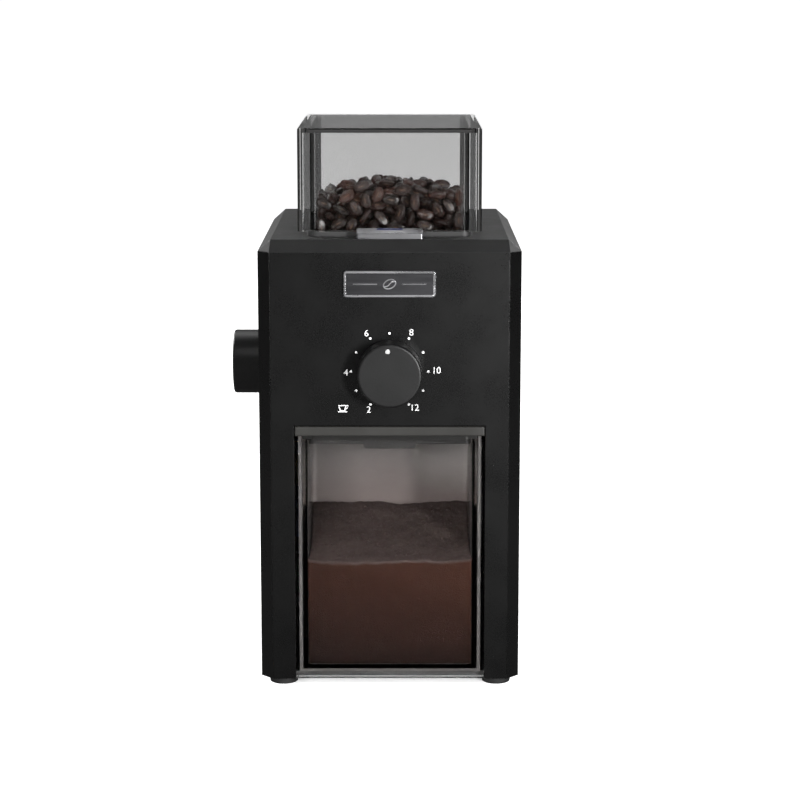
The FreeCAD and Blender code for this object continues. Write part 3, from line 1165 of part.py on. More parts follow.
def make_adjust_ring():
    """Ring with downward crown teeth on one side and three ramps on top."""
    module = value("pinion_module")
    pitch_z = value("grind_z") + module * value("pinion_teeth") / 2
    low, high = value("ring_low_z"), value("ring_high_z")
    blank = Part.makeCylinder(value("ring_outer"), high - low, FreeCAD.Vector(0, 0, low))
    pieces = [blank]
    lean = math.tan(math.radians(value("pressure_angle")))
    half = (math.pi * module / 2 - 3 * value("tooth_backlash")) / 2
    tip_z = pitch_z - value("tooth_addendum") * module
    step = 360 / value("ring_teeth")
    count = int(value("ring_tooth_sector") / step)
    for number in range(-count, count + 1):
        corners = []
        for height in (low + value("rest_gap*2"), tip_z):
            reach = half + (height - pitch_z) * lean
            corners.append((reach, height))
        (wide, upper), (narrow, lower) = corners
        loop = [FreeCAD.Vector(value("ring_tooth_inner"), across, height) for across, height in
                ((-wide, upper), (-narrow, lower), (narrow, lower), (wide, upper), (-wide, upper))]
        tooth = Part.Face(Part.makePolygon(loop)).extrude(
            FreeCAD.Vector(value("ring_tooth_outer-ring_tooth_inner"), 0, 0))
        tooth.rotate(FreeCAD.Vector(), FreeCAD.Vector(0, 0, 1), 180 + (number + 0.5) * step)
        pieces.append(tooth)
    sector = 2 * value("ramp_sector")
    rise = math.degrees(math.atan(value("ramp_rise")))
    ramp_z = value("ramp_z")
    cutter = 3 * value("ramp_outer")
    for middle in PIN_ANGLES:
        ramp = Part.makeCylinder(value("ramp_outer"), ramp_z + 2 - high, FreeCAD.Vector(0, 0, high),
                                 FreeCAD.Vector(0, 0, 1), sector)
        ramp = ramp.cut(Part.makeCylinder(value("ramp_inner"), 2 * ramp_z))
        ramp.rotate(FreeCAD.Vector(), FreeCAD.Vector(0, 0, 1), -value("ramp_sector"))
        above = Part.makeBox(cutter, cutter, cutter, FreeCAD.Vector(0, -cutter / 2, ramp_z))
        above.rotate(FreeCAD.Vector(0, 0, ramp_z), FreeCAD.Vector(1, 0, 0), -rise)
        ramp = ramp.cut(above)
        ramp.rotate(FreeCAD.Vector(), FreeCAD.Vector(0, 0, 1), middle)
        pieces.append(ramp)
    whole = pieces[0].multiFuse(pieces[1:])
    whole = whole.cut(Part.makeCylinder(value("ring_inner"), 2 * ramp_z))
    name_part(direct_shape("crown_ring", whole), "adjust_ring", "0", "burr_y")


def make_gear_train():
    """Burr gear, two-step idler on its pin, and the motor pinion."""
    module = value("coarse_module")
    burr = gear(module, value("burr_gear_teeth"), value("burr_gear_high_z-burr_gear_low_z"),
                value("burr_shaft_radius"), 90)
    count = int(value("web_hole_count"))
    offset = value("web_hole_offset")
    hub_height = value("hub_high_z-burr_gear_low_z")
    turns = [2 * math.pi * (number + 0.5) / count for number in range(count)]
    holes = [Part.makeCylinder(value("web_hole_radius"), hub_height + 2,
                               FreeCAD.Vector(offset * math.cos(turn), offset * math.sin(turn), -1))
             for turn in turns]
    burr = burr.cut(holes)
    hub = Part.makeCylinder(value("hub_radius"), hub_height)
    hub = hub.cut(Part.makeCylinder(value("burr_shaft_radius"), hub_height + 2, FreeCAD.Vector(0, 0, -1)))
    name_part(direct_shape("burr_wheel", burr.fuse(hub)), "burr_gear", "0", "burr_y", "burr_gear_low_z")
    bore = value("idler_pin_radius+shaft_gap")
    small_step = 180 / value("idler_small_teeth")
    small = gear(module, value("idler_small_teeth"), value("idler_step_z-idler_low_z"), bore,
                 -90 + small_step)
    large = gear(value("fine_module"), value("idler_large_teeth"), value("idler_high_z-idler_step_z"),
                 bore, 90)
    large.translate(FreeCAD.Vector(0, 0, value("idler_step_z-idler_low_z")))
    name_part(direct_shape("idler_wheels", small.fuse(large)), "idler_gear", "0", "idler_y", "idler_low_z")
    pin = ring("0", "idler_pin_radius", "lower_plate_low_z+rest_gap*2", "chamber_low_z-rest_gap*2")
    name_part(revolved("idler_pin_body", pin), "idler_pin", "0", "idler_y")
    motor_step = 180 / value("motor_teeth")
    pinion = gear(value("fine_module"), value("motor_teeth"),
                  value("idler_high_z-idler_step_z+pinion_overlap*2"),
                  value("motor_shaft_radius"), -90 + motor_step)
    name_part(direct_shape("motor_wheel", pinion), "motor_pinion", "0", "motor_y",
              "idler_step_z-pinion_overlap")


def make_gear_plates():
    """Lower and upper plates that hold the shafts, and the posts between them."""
    bearing_bore = "bearing_outer+slip"
    pin_bore = "idler_pin_radius+slip"
    lower = box("lower_blank", both("lower_plate_half_x"), ("plate_front_y", "lower_plate_rear_y"),
                ("lower_plate_low_z", "lower_plate_high_z"))
    boss = rod("lower_boss", "boss_radius", ("0", "burr_y", "lower_plate_low_z"),
               "boss_high_z-lower_plate_low_z")
    gaps = [rod("lower_bearing_hole", bearing_bore, ("0", "burr_y", "lower_plate_low_z-1"), "wall+4"),
            rod("lower_pin_hole", pin_bore, ("0", "idler_y", "lower_plate_low_z-1"), "wall+2"),
            rod("lower_motor_hole", "motor_bush_radius+lower_bush_gap",
                ("0", "motor_y", "lower_plate_low_z-1"), "wall+2")]
    for side in ("-1", "1"):
        for middle in ("ledge_front_y", "ledge_rear_y"):
            gaps.append(rod("lower_screw_hole", "screw_radius",
                            ("ledge_screw_x*" + side, middle, "lower_plate_low_z-1"), "wall+2"))
    name_part(cut("lower_with_holes", fuse("lower_solid", lower, boss), *gaps), "lower_gear_plate")
    upper = box("upper_blank", both("upper_plate_half_x"), ("plate_front_y", "upper_plate_rear_y"),
                ("upper_plate_low_z", "chamber_low_z"))
    upright = box("upper_upright", ("upright_outer_x", "window_left_x"),
                  ("burr_y-upright_half_y", "burr_y+upright_half_y"), ("upper_plate_low_z", "upright_high_z"))
    gaps = [box("pinion_window", ("window_left_x", "window_right_x"),
                ("burr_y-window_half_y", "burr_y+window_half_y"), ("upper_plate_low_z-1", "chamber_low_z+1")),
            rod("upright_bore", "grind_shaft_radius-slip+shaft_gap",
                ("upright_outer_x-1", "burr_y", "grind_z"),
                "window_left_x-upright_outer_x+2", "x"),
            rod("upper_bearing_hole", bearing_bore, ("0", "burr_y", "upper_plate_low_z-1"), "wall+4"),
            rod("upper_pin_hole", pin_bore, ("0", "idler_y", "upper_plate_low_z-1"), "wall+3"),
            rod("upper_motor_hole", "motor_bush_radius+upper_bush_gap",
                ("0", "motor_y", "upper_plate_low_z-1"), "wall+3")]
    name_part(cut("upper_with_holes", fuse("upper_solid", upper, upright), *gaps), "upper_gear_plate")
    posts = [rod("post", "post_radius", (across, along, "lower_plate_high_z"),
                 "upper_plate_low_z-lower_plate_high_z")
             for across in ("-post_x", "post_x") for along in ("post_front_y", "post_rear_y")]
    name_part(fuse("posts", *posts), "plate_posts")


# ---- Burr set ----

def make_grinding_chamber():
    """Drum round the burrs, with the outlet window, slots for the carrier's pins and three ears."""
    profile = [
        ("bearing_outer+rest_gap*2", "chamber_low_z"), ("chamber_outer", "chamber_low_z"),
        ("chamber_outer", "ledge_low_z"), ("ledge_outer", "ledge_low_z"), ("ledge_outer", "ledge_high_z"),
        ("chamber_outer", "ledge_high_z"), ("chamber_outer", "chamber_high_z"),
        ("chamber_inner", "chamber_high_z"), ("chamber_inner", "chamber_floor_z"),
        ("bearing_outer+rest_gap*2", "chamber_floor_z"),
    ]
    drum = revolved("drum", profile)
    ears, gaps = [], []
    for angle in EAR_ANGLES:
        ear = rod("ear", "ear_radius", ("ear_offset", "0", "chamber_low_z"),
                  "chamber_floor_z-chamber_low_z")
        web = box("ear_web", ("chamber_outer-1", "ear_offset"), both("ear_radius"),
                  ("chamber_low_z", "chamber_floor_z"))
        hole = rod("ear_hole", "screw_radius", ("ear_offset", "0", "chamber_low_z-1"), "wall+2")
        ears += [turned(ear, angle), turned(web, angle)]
        gaps.append(turned(hole, angle))
    for angle in PIN_ANGLES:
        slot = box("pin_slot", ("chamber_inner-1", "chamber_outer+1"), both("pin_radius+pin_gap"),
                   ("slot_low_z", "chamber_high_z+1"))
        gaps.append(turned(slot, angle))
    window = box("outlet_window", ("chamber_inner-1", "chamber_outer+1"), both("duct_half-chute_wall"),
                 ("window_low_z", "window_high_z"))
    gaps.append(turned(window, value("duct_turn")))
    name_part(cut("chamber", fuse("chamber_solid", drum, *ears), *gaps), "grinding_chamber", "0", "burr_y")


def make_burr_carrier():
    """Funnel-mouthed holder of the upper burr; its three pins ride on the ring's ramps."""
    profile = [
        ("burr_bore", "carrier_low_z"), ("carrier_outer", "carrier_low_z"),
        ("carrier_outer", "carrier_high_z"), ("carrier_mouth", "carrier_high_z"),
        ("burr_bore", "carrier_low_z+carrier_floor"),
    ]
    cup = revolved("carrier_cup", profile)
    pins = [turned(rod("carrier_pin", "pin_radius", ("carrier_outer-1", "0", "pin_z"),
                       "pin_end-carrier_outer+1", "x"), angle) for angle in PIN_ANGLES]
    name_part(fuse("carrier", cup, *pins), "upper_burr_carrier", "0", "burr_y")


def burr(name, bore, low, high, face, into):
    """A flat burr with skewed grooves cut into one face, and a bevelled feed mouth."""
    body = revolved(name, ring(bore, "burr_outer", low, high))
    corners = [("groove_skew-groove_half", face), ("groove_skew+groove_half", face),
               ("groove_skew", "(%s)+%s*groove_depth" % (face, into))]
    sketch = outline(body, name + "_groove_outline", "YZ_Plane", [corners])
    groove = add_feature(body, "Pocket", name + "_groove", sketch)
    groove.setExpression("Length", bound("burr_outer+1"))
    groove.Reversed = True
    grooves = body.newObject("PartDesign::PolarPattern", name + "_grooves")
    grooves.Originals = [groove]
    grooves.Axis = (origin_item(body, "Z_Axis"), [""])
    grooves.Angle = 360
    grooves.setExpression("Occurrences", bound("groove_count"))
    body.Tip = grooves
    doc.recompute()
    if grooves.Shape.Volume >= body.Group[1].Shape.Volume:
        raise ValueError(name + ": the grooves cut nothing")
    return body


def make_burrs():
    """Fixed upper burr and turning lower burr, ground face to ground face."""
    upper = burr("upper_burr_body", "burr_bore", "upper_burr_low_z", "carrier_low_z",
                 "upper_burr_low_z", "1")
    name_part(upper, "upper_burr", "0", "burr_y")
    lower = burr("lower_burr_body", "burr_seat_radius", "lower_burr_low_z", "lower_burr_high_z",
                 "lower_burr_high_z", "-1")
    name_part(lower, "lower_burr", "0", "burr_y")


def make_burr_drive():
    """Stepped burr shaft, the impeller under the burr, the nut over it and two bearings."""
    shaft, seat, seat_end = "burr_shaft_radius-slip", "burr_seat_radius-slip", "lower_burr_high_z-fit_gap"
    profile = [("0", "burr_shaft_low_z"), (shaft, "burr_shaft_low_z"), (shaft, "lower_burr_low_z"),
               (seat, "lower_burr_low_z"), (seat, seat_end), ("thread_radius", seat_end),
               ("thread_radius", "thread_high_z"), ("0", "thread_high_z")]
    name_part(revolved("burr_shaft_body", profile), "burr_shaft", "0", "burr_y")
    disc = revolved("impeller_disc", ring("burr_shaft_radius", "impeller_outer", "impeller_low_z",
                                          "lower_burr_low_z"))
    vanes = [turned(box("vane", ("vane_inner", "impeller_outer-rest_gap*2"), both("vane_half"),
                        ("impeller_low_z", "vane_high_z")), 360 * number / value("vane_count"))
             for number in range(int(value("vane_count")))]
    name_part(fuse("impeller_solid", disc, *vanes), "impeller", "0", "burr_y")
    nut_height = value("nut_high_z-lower_burr_high_z")
    nut_corner = value("nut_flats") / math.sqrt(3)
    turns = [math.radians(60 * number) for number in range(7)]
    hexagon = Part.makePolygon([FreeCAD.Vector(nut_corner * math.cos(turn), nut_corner * math.sin(turn), 0)
                                for turn in turns])
    nut_shape = Part.Face(hexagon).extrude(FreeCAD.Vector(0, 0, nut_height))
    nut_shape = nut_shape.cut(Part.makeCylinder(value("thread_radius+slip"), nut_height + 2,
                                                FreeCAD.Vector(0, 0, -1)))
    name_part(direct_shape("hexagon_nut", nut_shape), "burr_nut", "0", "burr_y", "lower_burr_high_z")
    for label, low in (("burr_bearing_lower", "lower_plate_low_z"),
                       ("burr_bearing_upper", "upper_plate_low_z")):
        bearing = revolved(label + "_ring", ring(shaft + "+shaft_gap", "bearing_outer", low,
                                                 low + "+bearing_height-bearing_gap"))
        name_part(bearing, label, "0", "burr_y")


# ---- Motor ----

def make_motor_case():
    """Can, end cap with brush rests, bushes, magnets and brushes."""
    high = "lower_plate_low_z"
    bush_bore = "motor_bush_radius+slip"
    can = [("can_inner", "can_low_z"), ("can_outer", "can_low_z"), ("can_outer", high),
           (bush_bore, high), (bush_bore, high + "-can_top"), ("can_inner", high + "-can_top")]
    name_part(revolved("can", can), "motor_can", "0", "motor_y")
    seat, collar_top = "can_low_z-slip*2", "can_low_z+cap_collar"
    collar, collar_bore = "can_inner-rest_gap", "can_inner-cap_collar_wall"
    boss, boss_top = "motor_bush_radius+cap_boss_wall", "end_cap_low_z+motor_bush_height"
    floor_top = "end_cap_low_z+end_cap_thick"
    cap = [(bush_bore, "end_cap_low_z"), ("can_outer", "end_cap_low_z"), ("can_outer", seat),
           (collar, seat), (collar, collar_top), (collar_bore, collar_top), (collar_bore, floor_top),
           (boss, floor_top), (boss, boss_top), (bush_bore, boss_top)]
    rests = [box("brush_rest", sorted([side + "*(commutator_radius+brush_rest_gap)", side + "*brush_end"],
                                      key=value),
                 both("brush_half"), ("end_cap_low_z+1", "brush_low_z")) for side in ("-1", "1")]
    name_part(fuse("cap_with_rests", revolved("end_cap_ring", cap), *rests), "motor_end_cap", "0", "motor_y")
    bore = "motor_shaft_radius-slip+shaft_gap"
    bushes = [revolved("motor_bush", ring(bore, "motor_bush_radius", low, high_end)) for low, high_end in
              (("end_cap_low_z", "end_cap_low_z+motor_bush_height"), (high + "-motor_bush_height", high))]
    name_part(fuse("bushes", *bushes), "motor_bushes", "0", "motor_y")
    magnets = []
    for side in (0, 180):
        arc = doc.addObject("Part::Cylinder", "magnet_block")
        arc.setExpression("Radius", bound("can_inner-rest_gap"))
        arc.setExpression("Height", bound("magnet_high_z-magnet_low_z"))
        arc.setExpression("Angle", bound("magnet_half*2"))
        arc.Placement.Rotation = FreeCAD.Rotation(FreeCAD.Vector(0, 0, 1), side - value("magnet_half"))
        bind_place(arc, "0", "0", "magnet_low_z")
        magnets.append(arc)
    core = rod("magnet_core", "magnet_inner", ("0", "0", "magnet_low_z-1"), "magnet_high_z-magnet_low_z+2")
    name_part(cut("magnets", fuse("magnet_pair", *magnets), core), "motor_magnets", "0", "motor_y")
    brushes = [box("brush", sorted([side + "*(commutator_radius+rest_gap)", side + "*brush_end"], key=value),
                   both("brush_half"), ("brush_low_z", "brush_low_z+brush_height")) for side in ("-1", "1")]
    name_part(fuse("brush_pair", *brushes), "motor_brushes", "0", "motor_y")


def make_motor_rotor():
    """Shaft, slotted stack and commutator."""
    shaft = ring("0", "motor_shaft_radius-slip", "motor_shaft_low_z", "idler_high_z+fit_gap")
    name_part(revolved("rotor_shaft", shaft), "motor_shaft", "0", "motor_y")
    stack = revolved("stack", ring("motor_shaft_radius", "rotor_radius", "rotor_low_z", "rotor_high_z"))
    slots = [turned(box("rotor_slot", ("rotor_radius-rotor_slot_depth", "rotor_radius+1"),
                        both("rotor_slot_width/2"), ("rotor_low_z-1", "rotor_high_z+1")),
                    360 * number / value("rotor_slots"))
             for number in range(int(value("rotor_slots")))]
    name_part(cut("slotted_stack", stack, *slots), "motor_rotor", "0", "motor_y")
    bars = revolved("commutator_ring", ring("motor_shaft_radius", "commutator_radius",
                                            "commutator_low_z", "commutator_high_z"))
    name_part(bars, "commutator", "0", "motor_y")


def make_electronics():
    """Control board on the wall studs, with its relay and capacitor."""
    board = box("board_blank", ("board_x-board_thick", "board_x"), ("board_front_y", "board_rear_y"),
                ("board_low_z", "board_high_z"))
    terminals = box("terminal_block", ("board_x", "board_x+terminal_depth"),
                    ("board_front_y+terminal_start_y", "board_front_y+terminal_end_y"),
                    ("board_low_z+terminal_start_z", "board_low_z+terminal_end_z"))
    name_part(fuse("board", board, terminals), "control_board")
    case = box("relay_case", ("board_x", "board_x+relay_depth"),
               ("board_rear_y-relay_start_y", "board_rear_y-relay_end_y"),
               ("board_low_z+relay_start_z", "board_low_z+relay_end_z"))
    relay = rounded("relay_corners", case, "relay_edge",
                    lambda edge: lies_at(edge, "x", "board_x+relay_depth"))
    name_part(relay, "relay")
    can = rod("capacitor_can", "capacitor_radius",
              ("board_x", "board_front_y+capacitor_y", "board_high_z-capacitor_drop"),
              "capacitor_length", "x")
    capacitor = rounded("capacitor_rim", can, "capacitor_edge",
                        lambda edge: lies_at(edge, "x", "board_x+capacitor_length"))
    name_part(capacitor, "capacitor")


def write_parts():
    """Recompute, check every object and every sub-part, and write the files."""
    doc.recompute()
    for item in doc.Objects:
        if "Invalid" in item.State or "Error" in item.State:
            raise ValueError("%s did not recompute: %s" % (item.Name, item.State))
    os.makedirs("parts", exist_ok=True)
    for shape in SUBPARTS:
        if shape.Shape.isNull() or not shape.Shape.isValid() or not shape.Shape.Solids:
            raise ValueError("%s has no valid solid" % shape.Label)
    for shape in SUBPARTS:
        shape.Shape.exportStep(os.path.join("parts", shape.Label + ".step"))
        print("%-22s %2d solids %10.1f mm3" % (shape.Label, len(shape.Shape.Solids), shape.Shape.Volume))
    print(len(SUBPARTS), "sub-parts")


for make in (
        make_housing_shell, make_front_panel, make_top_cover, make_base_plate, make_rear_cover,
        make_rubber_feet, make_badge_plate, make_cord_gland, make_screws, make_hopper, make_hopper_lid,
        make_hopper_funnel, make_start_button, make_button_spring, make_switch_bracket, make_switches,
        make_container, make_container_lid, make_container_bay, make_outlet_chute, make_cup_dial,
        make_grind_dial, make_adjust_ring, make_gear_train, make_gear_plates, make_grinding_chamber,
        make_burr_carrier, make_burrs, make_burr_drive, make_motor_case, make_motor_rotor,
        make_electronics):
    make()
write_parts()
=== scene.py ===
# Looks of the burr coffee grinder: a material for every CAD node, the coffee, the print on the front and on
# the start button, the button's spring, the light and the camera.
import json
import math

import bmesh
import bpy
import numpy as np
from mathutils import Matrix, Vector


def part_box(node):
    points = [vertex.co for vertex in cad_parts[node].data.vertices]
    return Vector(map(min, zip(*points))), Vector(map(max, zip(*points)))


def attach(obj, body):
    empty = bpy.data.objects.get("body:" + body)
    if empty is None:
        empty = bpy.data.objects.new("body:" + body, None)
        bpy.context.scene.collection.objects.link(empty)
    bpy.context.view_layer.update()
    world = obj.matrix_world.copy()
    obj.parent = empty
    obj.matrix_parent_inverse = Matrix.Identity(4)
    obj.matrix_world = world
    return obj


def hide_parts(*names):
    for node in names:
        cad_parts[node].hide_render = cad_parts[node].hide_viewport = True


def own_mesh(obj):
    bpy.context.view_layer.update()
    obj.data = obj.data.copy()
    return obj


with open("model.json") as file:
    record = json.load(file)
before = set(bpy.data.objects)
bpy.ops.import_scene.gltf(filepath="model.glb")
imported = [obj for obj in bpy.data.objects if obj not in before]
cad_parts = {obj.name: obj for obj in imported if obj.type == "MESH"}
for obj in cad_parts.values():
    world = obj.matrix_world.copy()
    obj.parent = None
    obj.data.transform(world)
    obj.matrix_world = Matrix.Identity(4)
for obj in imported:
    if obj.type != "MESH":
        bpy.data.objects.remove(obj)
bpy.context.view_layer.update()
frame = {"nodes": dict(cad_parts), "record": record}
NODES = frame["nodes"]
MM = 0.001
SEED = 41
ROW_FROM_BODY = Vector((7, 5, 0))  # mm: the body's centre line and middle stand here in the row frame


def ranged(tree, source, start, end, low, high):
    """A Map Range node that goes from low to high as source goes from start to end."""
    node = tree.nodes.new("ShaderNodeMapRange")
    for socket, value in (("From Min", start), ("From Max", end), ("To Min", low), ("To Max", high)):
        node.inputs[socket].default_value = value
    tree.links.new(source, node.inputs["Value"])
    return node


# ---------------------------------------------------------------- materials
MIX_FACTOR, MIX_FIRST, MIX_SECOND, MIX_RESULT = 0, 6, 7, 2  # sockets of a Mix node set to colours


class Paint:
    """A Principled material built node by node. Patterns use object coordinates, in metres."""

    def __init__(self, name, **values):
        self.material = bpy.data.materials.new(name)
        self.material.use_nodes = True
        self.tree = self.material.node_tree
        self.tree.nodes.clear()
        self.output = self.add("ShaderNodeOutputMaterial")
        self.shader = self.add("ShaderNodeBsdfPrincipled")
        self.link(self.shader.outputs[0], self.output.inputs["Surface"])
        for socket, value in values.items():
            self.shader.inputs[socket.replace("_", " ")].default_value = value
        self.place = self.add("ShaderNodeTexCoord").outputs["Object"]

    def add(self, kind, **settings):
        node = self.tree.nodes.new(kind)
        for key, value in settings.items():
            setattr(node, key, value)
        return node

    def link(self, source, target):
        self.tree.links.new(source, target)

    def stretched(self, scale):
        node = self.add("ShaderNodeMapping")
        node.inputs["Scale"].default_value = scale
        self.link(self.place, node.inputs["Vector"])
        return node.outputs[0]

    def noise(self, scale, detail=3.0, roughness=0.55, stretch=None, distortion=0.0):
        node = self.add("ShaderNodeTexNoise")
        node.inputs["Scale"].default_value = scale
        node.inputs["Detail"].default_value = detail
        node.inputs["Roughness"].default_value = roughness
        node.inputs["Distortion"].default_value = distortion
        self.link(self.stretched(stretch) if stretch else self.place, node.inputs["Vector"])
        return node.outputs["Fac"]

    def cells(self, scale, feature="F1", randomness=1.0):
        node = self.add("ShaderNodeTexVoronoi", feature=feature)
        node.inputs["Scale"].default_value = scale
        node.inputs["Randomness"].default_value = randomness
        self.link(self.place, node.inputs["Vector"])
        return node.outputs["Distance"]

    def axes(self):
        """The place's X, Y and Z as numbers."""
        node = self.add("ShaderNodeSeparateXYZ")
        self.link(self.place, node.inputs[0])
        return node.outputs

    def attribute(self, name):
        return self.add("ShaderNodeAttribute", attribute_name=name).outputs["Fac"]

    def ramp(self, source, stops):
        """Colours between (position, colour) stops; a single number stands for a grey."""
        node = self.add("ShaderNodeValToRGB")
        ramp = node.color_ramp
        while len(ramp.elements) < len(stops):
            ramp.elements.new(0.5)
        for element, (position, colour) in zip(ramp.elements, stops):
            element.position = position
            grey = isinstance(colour, (int, float))
            element.color = (colour, colour, colour, 1) if grey else (*colour, 1)
        self.link(source, node.inputs["Fac"])
        return node.outputs["Color"]

    def span(self, source, low, high, start=0.3, end=0.7):
        """A number that goes from low to high as source goes from start to end."""
        return ranged(self.tree, source, start, end, low, high).outputs["Result"]

    def mixed(self, factor, first, second, blend="MIX"):
        node = self.add("ShaderNodeMix", data_type="RGBA", blend_type=blend)
        for number, value in ((MIX_FACTOR, factor), (MIX_FIRST, first), (MIX_SECOND, second)):
            socket = node.inputs[number]
            if isinstance(value, bpy.types.NodeSocket):
                self.link(value, socket)
            elif isinstance(value, (int, float)):
                socket.default_value = value
            else:
                socket.default_value = (*value, 1)
        return node.outputs[MIX_RESULT]

    def bumps(self, *layers, edge=0.0):
        """Stacks bump layers (height, strength, distance in metres), on corners that edge rounds."""
        normal = None
        if edge:
            corner = self.add("ShaderNodeBevel", samples=4)
            corner.inputs["Radius"].default_value = edge
            normal = corner.outputs[0]
        for height, strength, distance in layers:
            node = self.add("ShaderNodeBump")
            node.inputs["Strength"].default_value = strength
            node.inputs["Distance"].default_value = distance
            self.link(height, node.inputs["Height"])
            if normal:
                self.link(normal, node.inputs["Normal"])
            normal = node.outputs[0]
        if normal:
            self.link(normal, self.shader.inputs["Normal"])

    def set(self, socket, source):
        self.link(source, self.shader.inputs[socket])

    def lets_lamps_through(self, tint):
        """Rays from lamps pass, so that what lies behind the clear wall is lit."""
        path = self.add("ShaderNodeLightPath")
        clear = self.add("ShaderNodeBsdfTransparent")
        clear.inputs["Color"].default_value = (tint, tint, tint, 1)
        mix = self.add("ShaderNodeMixShader")
        self.link(path.outputs["Is Shadow Ray"], mix.inputs[0])
        self.link(self.shader.outputs[0], mix.inputs[1])
        self.link(clear.outputs[0], mix.inputs[2])
        self.link(mix.outputs[0], self.output.inputs["Surface"])


def moulded(name, dark, light, rough, grain=1400, relief=0.25, edge=0.0004):
    """Spark-eroded moulded plastic: fine grain, soft blotches in the gloss, faint colour drift."""
    p = Paint(name)
    drift = p.noise(28, 4)
    p.set("Base Color", p.ramp(drift, [(0.3, dark), (0.7, light)]))
    fine = p.noise(grain, 2, 0.7)
    blotches = p.span(p.noise(55, 5), rough - 0.04, rough + 0.04)
    sparks = p.span(fine, rough - 0.07, rough + 0.07)
    p.set("Roughness", p.mixed(0.35, blotches, sparks))
    p.bumps((p.noise(12, 2), 0.12, 0.0015), (fine, relief, 0.00006), edge=edge)
    return p.material


CLEAR_IOR = 1.12  # low, so that the walls' edges stay grey as in the photo
SMOKE = (0.5, 0.495, 0.49, 1)  # the colour that the walls absorb towards
LAMP_TINT = 0.96  # share of a lamp's light that each face of a clear wall lets through


def clear_wall(name, rough, smoke, tint):
    """Clear plastic, smoked through its depth: faint flow waves, fine scratches, handling marks."""
    p = Paint(name, Transmission_Weight=1.0, IOR=CLEAR_IOR)
    p.set("Base Color", p.ramp(p.noise(18, 2), [(0.3, tint * 0.985), (0.7, tint)]))
    marks = p.noise(90, 6, 0.6)
    hairs = p.noise(220, 4, 0.7, stretch=(1, 1, 0.06))
    handled = p.span(marks, rough * 0.4, rough * 1.6)
    scratched = p.span(hairs, rough * 0.5, rough * 1.5)
    p.set("Roughness", p.mixed(0.4, handled, scratched))
    p.bumps((p.noise(9, 1), 0.03, 0.0006), (hairs, 0.015, 0.00003), edge=0.0002)
    depth = p.add("ShaderNodeVolumeAbsorption")
    depth.inputs["Color"].default_value = SMOKE
    depth.inputs["Density"].default_value = smoke
    p.link(depth.outputs[0], p.output.inputs["Volume"])
    p.lets_lamps_through(LAMP_TINT)
    return p.material


def metal(name, colour, rough, brush=None, pits=0.0, edge=0.0002):
    """Metal with brushed or ground lines along one axis, and light staining."""
    p = Paint(name, Metallic=1.0)
    lines = p.noise(900, 3, 0.6, stretch=brush or (1, 1, 1))
    stain = p.noise(120, 5)
    p.set("Base Color", p.ramp(stain, [(0.25, tuple(c * 0.78 for c in colour)), (0.7, colour)]))
    brushed = p.span(lines, rough - 0.1, rough + 0.1)
    p.set("Roughness", p.mixed(0.5, brushed, p.span(stain, rough + 0.08, rough - 0.05)))
    p.bumps((lines, 0.2, 0.00003), (p.noise(500, 4), pits, 0.00008), edge=edge)
    return p.material


BAY_DEPTH_Y = (-0.045, -0.010)  # metres: from the front half of the bay to its rear wall
BAY_PALER_Z = (0.078, 0.116)  # the rear wall turns paler upwards between these heights
BAY_PAINTED_LIGHT_X = (-0.03, 0.045)  # painted light: the rear wall brightens from left to right over this span, where the lamps' shadows fall
# painted light: brightness of the rear wall across X, raised where the lamps' shadows fall, most on the right
BAY_PAINTED_LIGHT_SHARES = [(0.0, 0.074), (0.5, 0.050), (0.62, 0.072), (0.72, 0.225), (0.8, 0.275), (1.0, 0.30)]


def bay_lining():
    """Black liner whose rear wall is greyed by coffee dust above the grounds and paler towards the top, with
    painted light where the lamps' shadows fall, most on the right.
    """
    p = Paint("bay_lining")
    place = p.axes()
    dust = p.ramp(p.noise(60, 4), [(0.3, (0.76, 0.72, 0.69)), (0.7, (0.85, 0.81, 0.78))])
    faint = p.ramp(p.noise(90, 4), [(0.3, (0.055, 0.042, 0.038)), (0.7, (0.070, 0.055, 0.050))])
    # painted light that fills the lamps' shadows on the rear wall
    painted_light_across = p.ramp(p.span(place["X"], 0.0, 1.0, *BAY_PAINTED_LIGHT_X), BAY_PAINTED_LIGHT_SHARES)
    dust_and_painted_light = p.mixed(1.0, dust, painted_light_across, blend="MULTIPLY")
    wall = p.mixed(p.span(place["Z"], 0.0, 1.0, *BAY_PALER_Z), faint, dust_and_painted_light)
    inward = p.span(place["Y"], 0.0, 1.0, *BAY_DEPTH_Y)
    p.set("Base Color", p.mixed(inward, (0.035, 0.032, 0.031), wall))
    p.set("Roughness", p.span(p.noise(240, 4), 0.45, 0.65))
    p.bumps((p.noise(900, 2), 0.4, 0.00006), edge=0.0004)
    return p.material


BAND_FOOT_Z = (0.1196, 0.1204)  # metres: the lid's band begins here, above its skirt


def container_lid():
    """Smoked lid: painted highlight on its band, and painted shade on its skirt below, which looks into the
    bay.
    """
    p = Paint("smoke_lid")
    drift = p.noise(28, 4)
    # painted shade on the skirt and a painted highlight on the band, split by height
    skirt_painted_shade = p.ramp(drift, [(0.3, (0.0040, 0.0037, 0.0035)), (0.7, (0.0058, 0.0054, 0.0051))])
    band_painted_light = p.ramp(drift, [(0.3, (0.022, 0.0215, 0.020)), (0.7, (0.031, 0.0305, 0.0285))])
    p.set("Base Color", p.mixed(p.span(p.axes()["Z"], 0.0, 1.0, *BAND_FOOT_Z), skirt_painted_shade, band_painted_light))
    p.set("Roughness", p.span(p.noise(55, 5), 0.30, 0.38))
    p.bumps((p.noise(12, 2), 0.10, 0.0010), (p.noise(700, 2), 0.05, 0.00004), edge=0.0005)
    return p.material


def rubbery(name):
    p = Paint(name, IOR=1.45)
    p.set("Base Color", p.ramp(p.noise(160, 5), [(0.3, 0.010), (0.75, 0.022)]))
    p.set("Roughness", p.span(p.noise(240, 4), 0.62, 0.85))
    p.bumps((p.noise(2200, 2), 0.4, 0.00008), edge=0.0003)
    return p.material


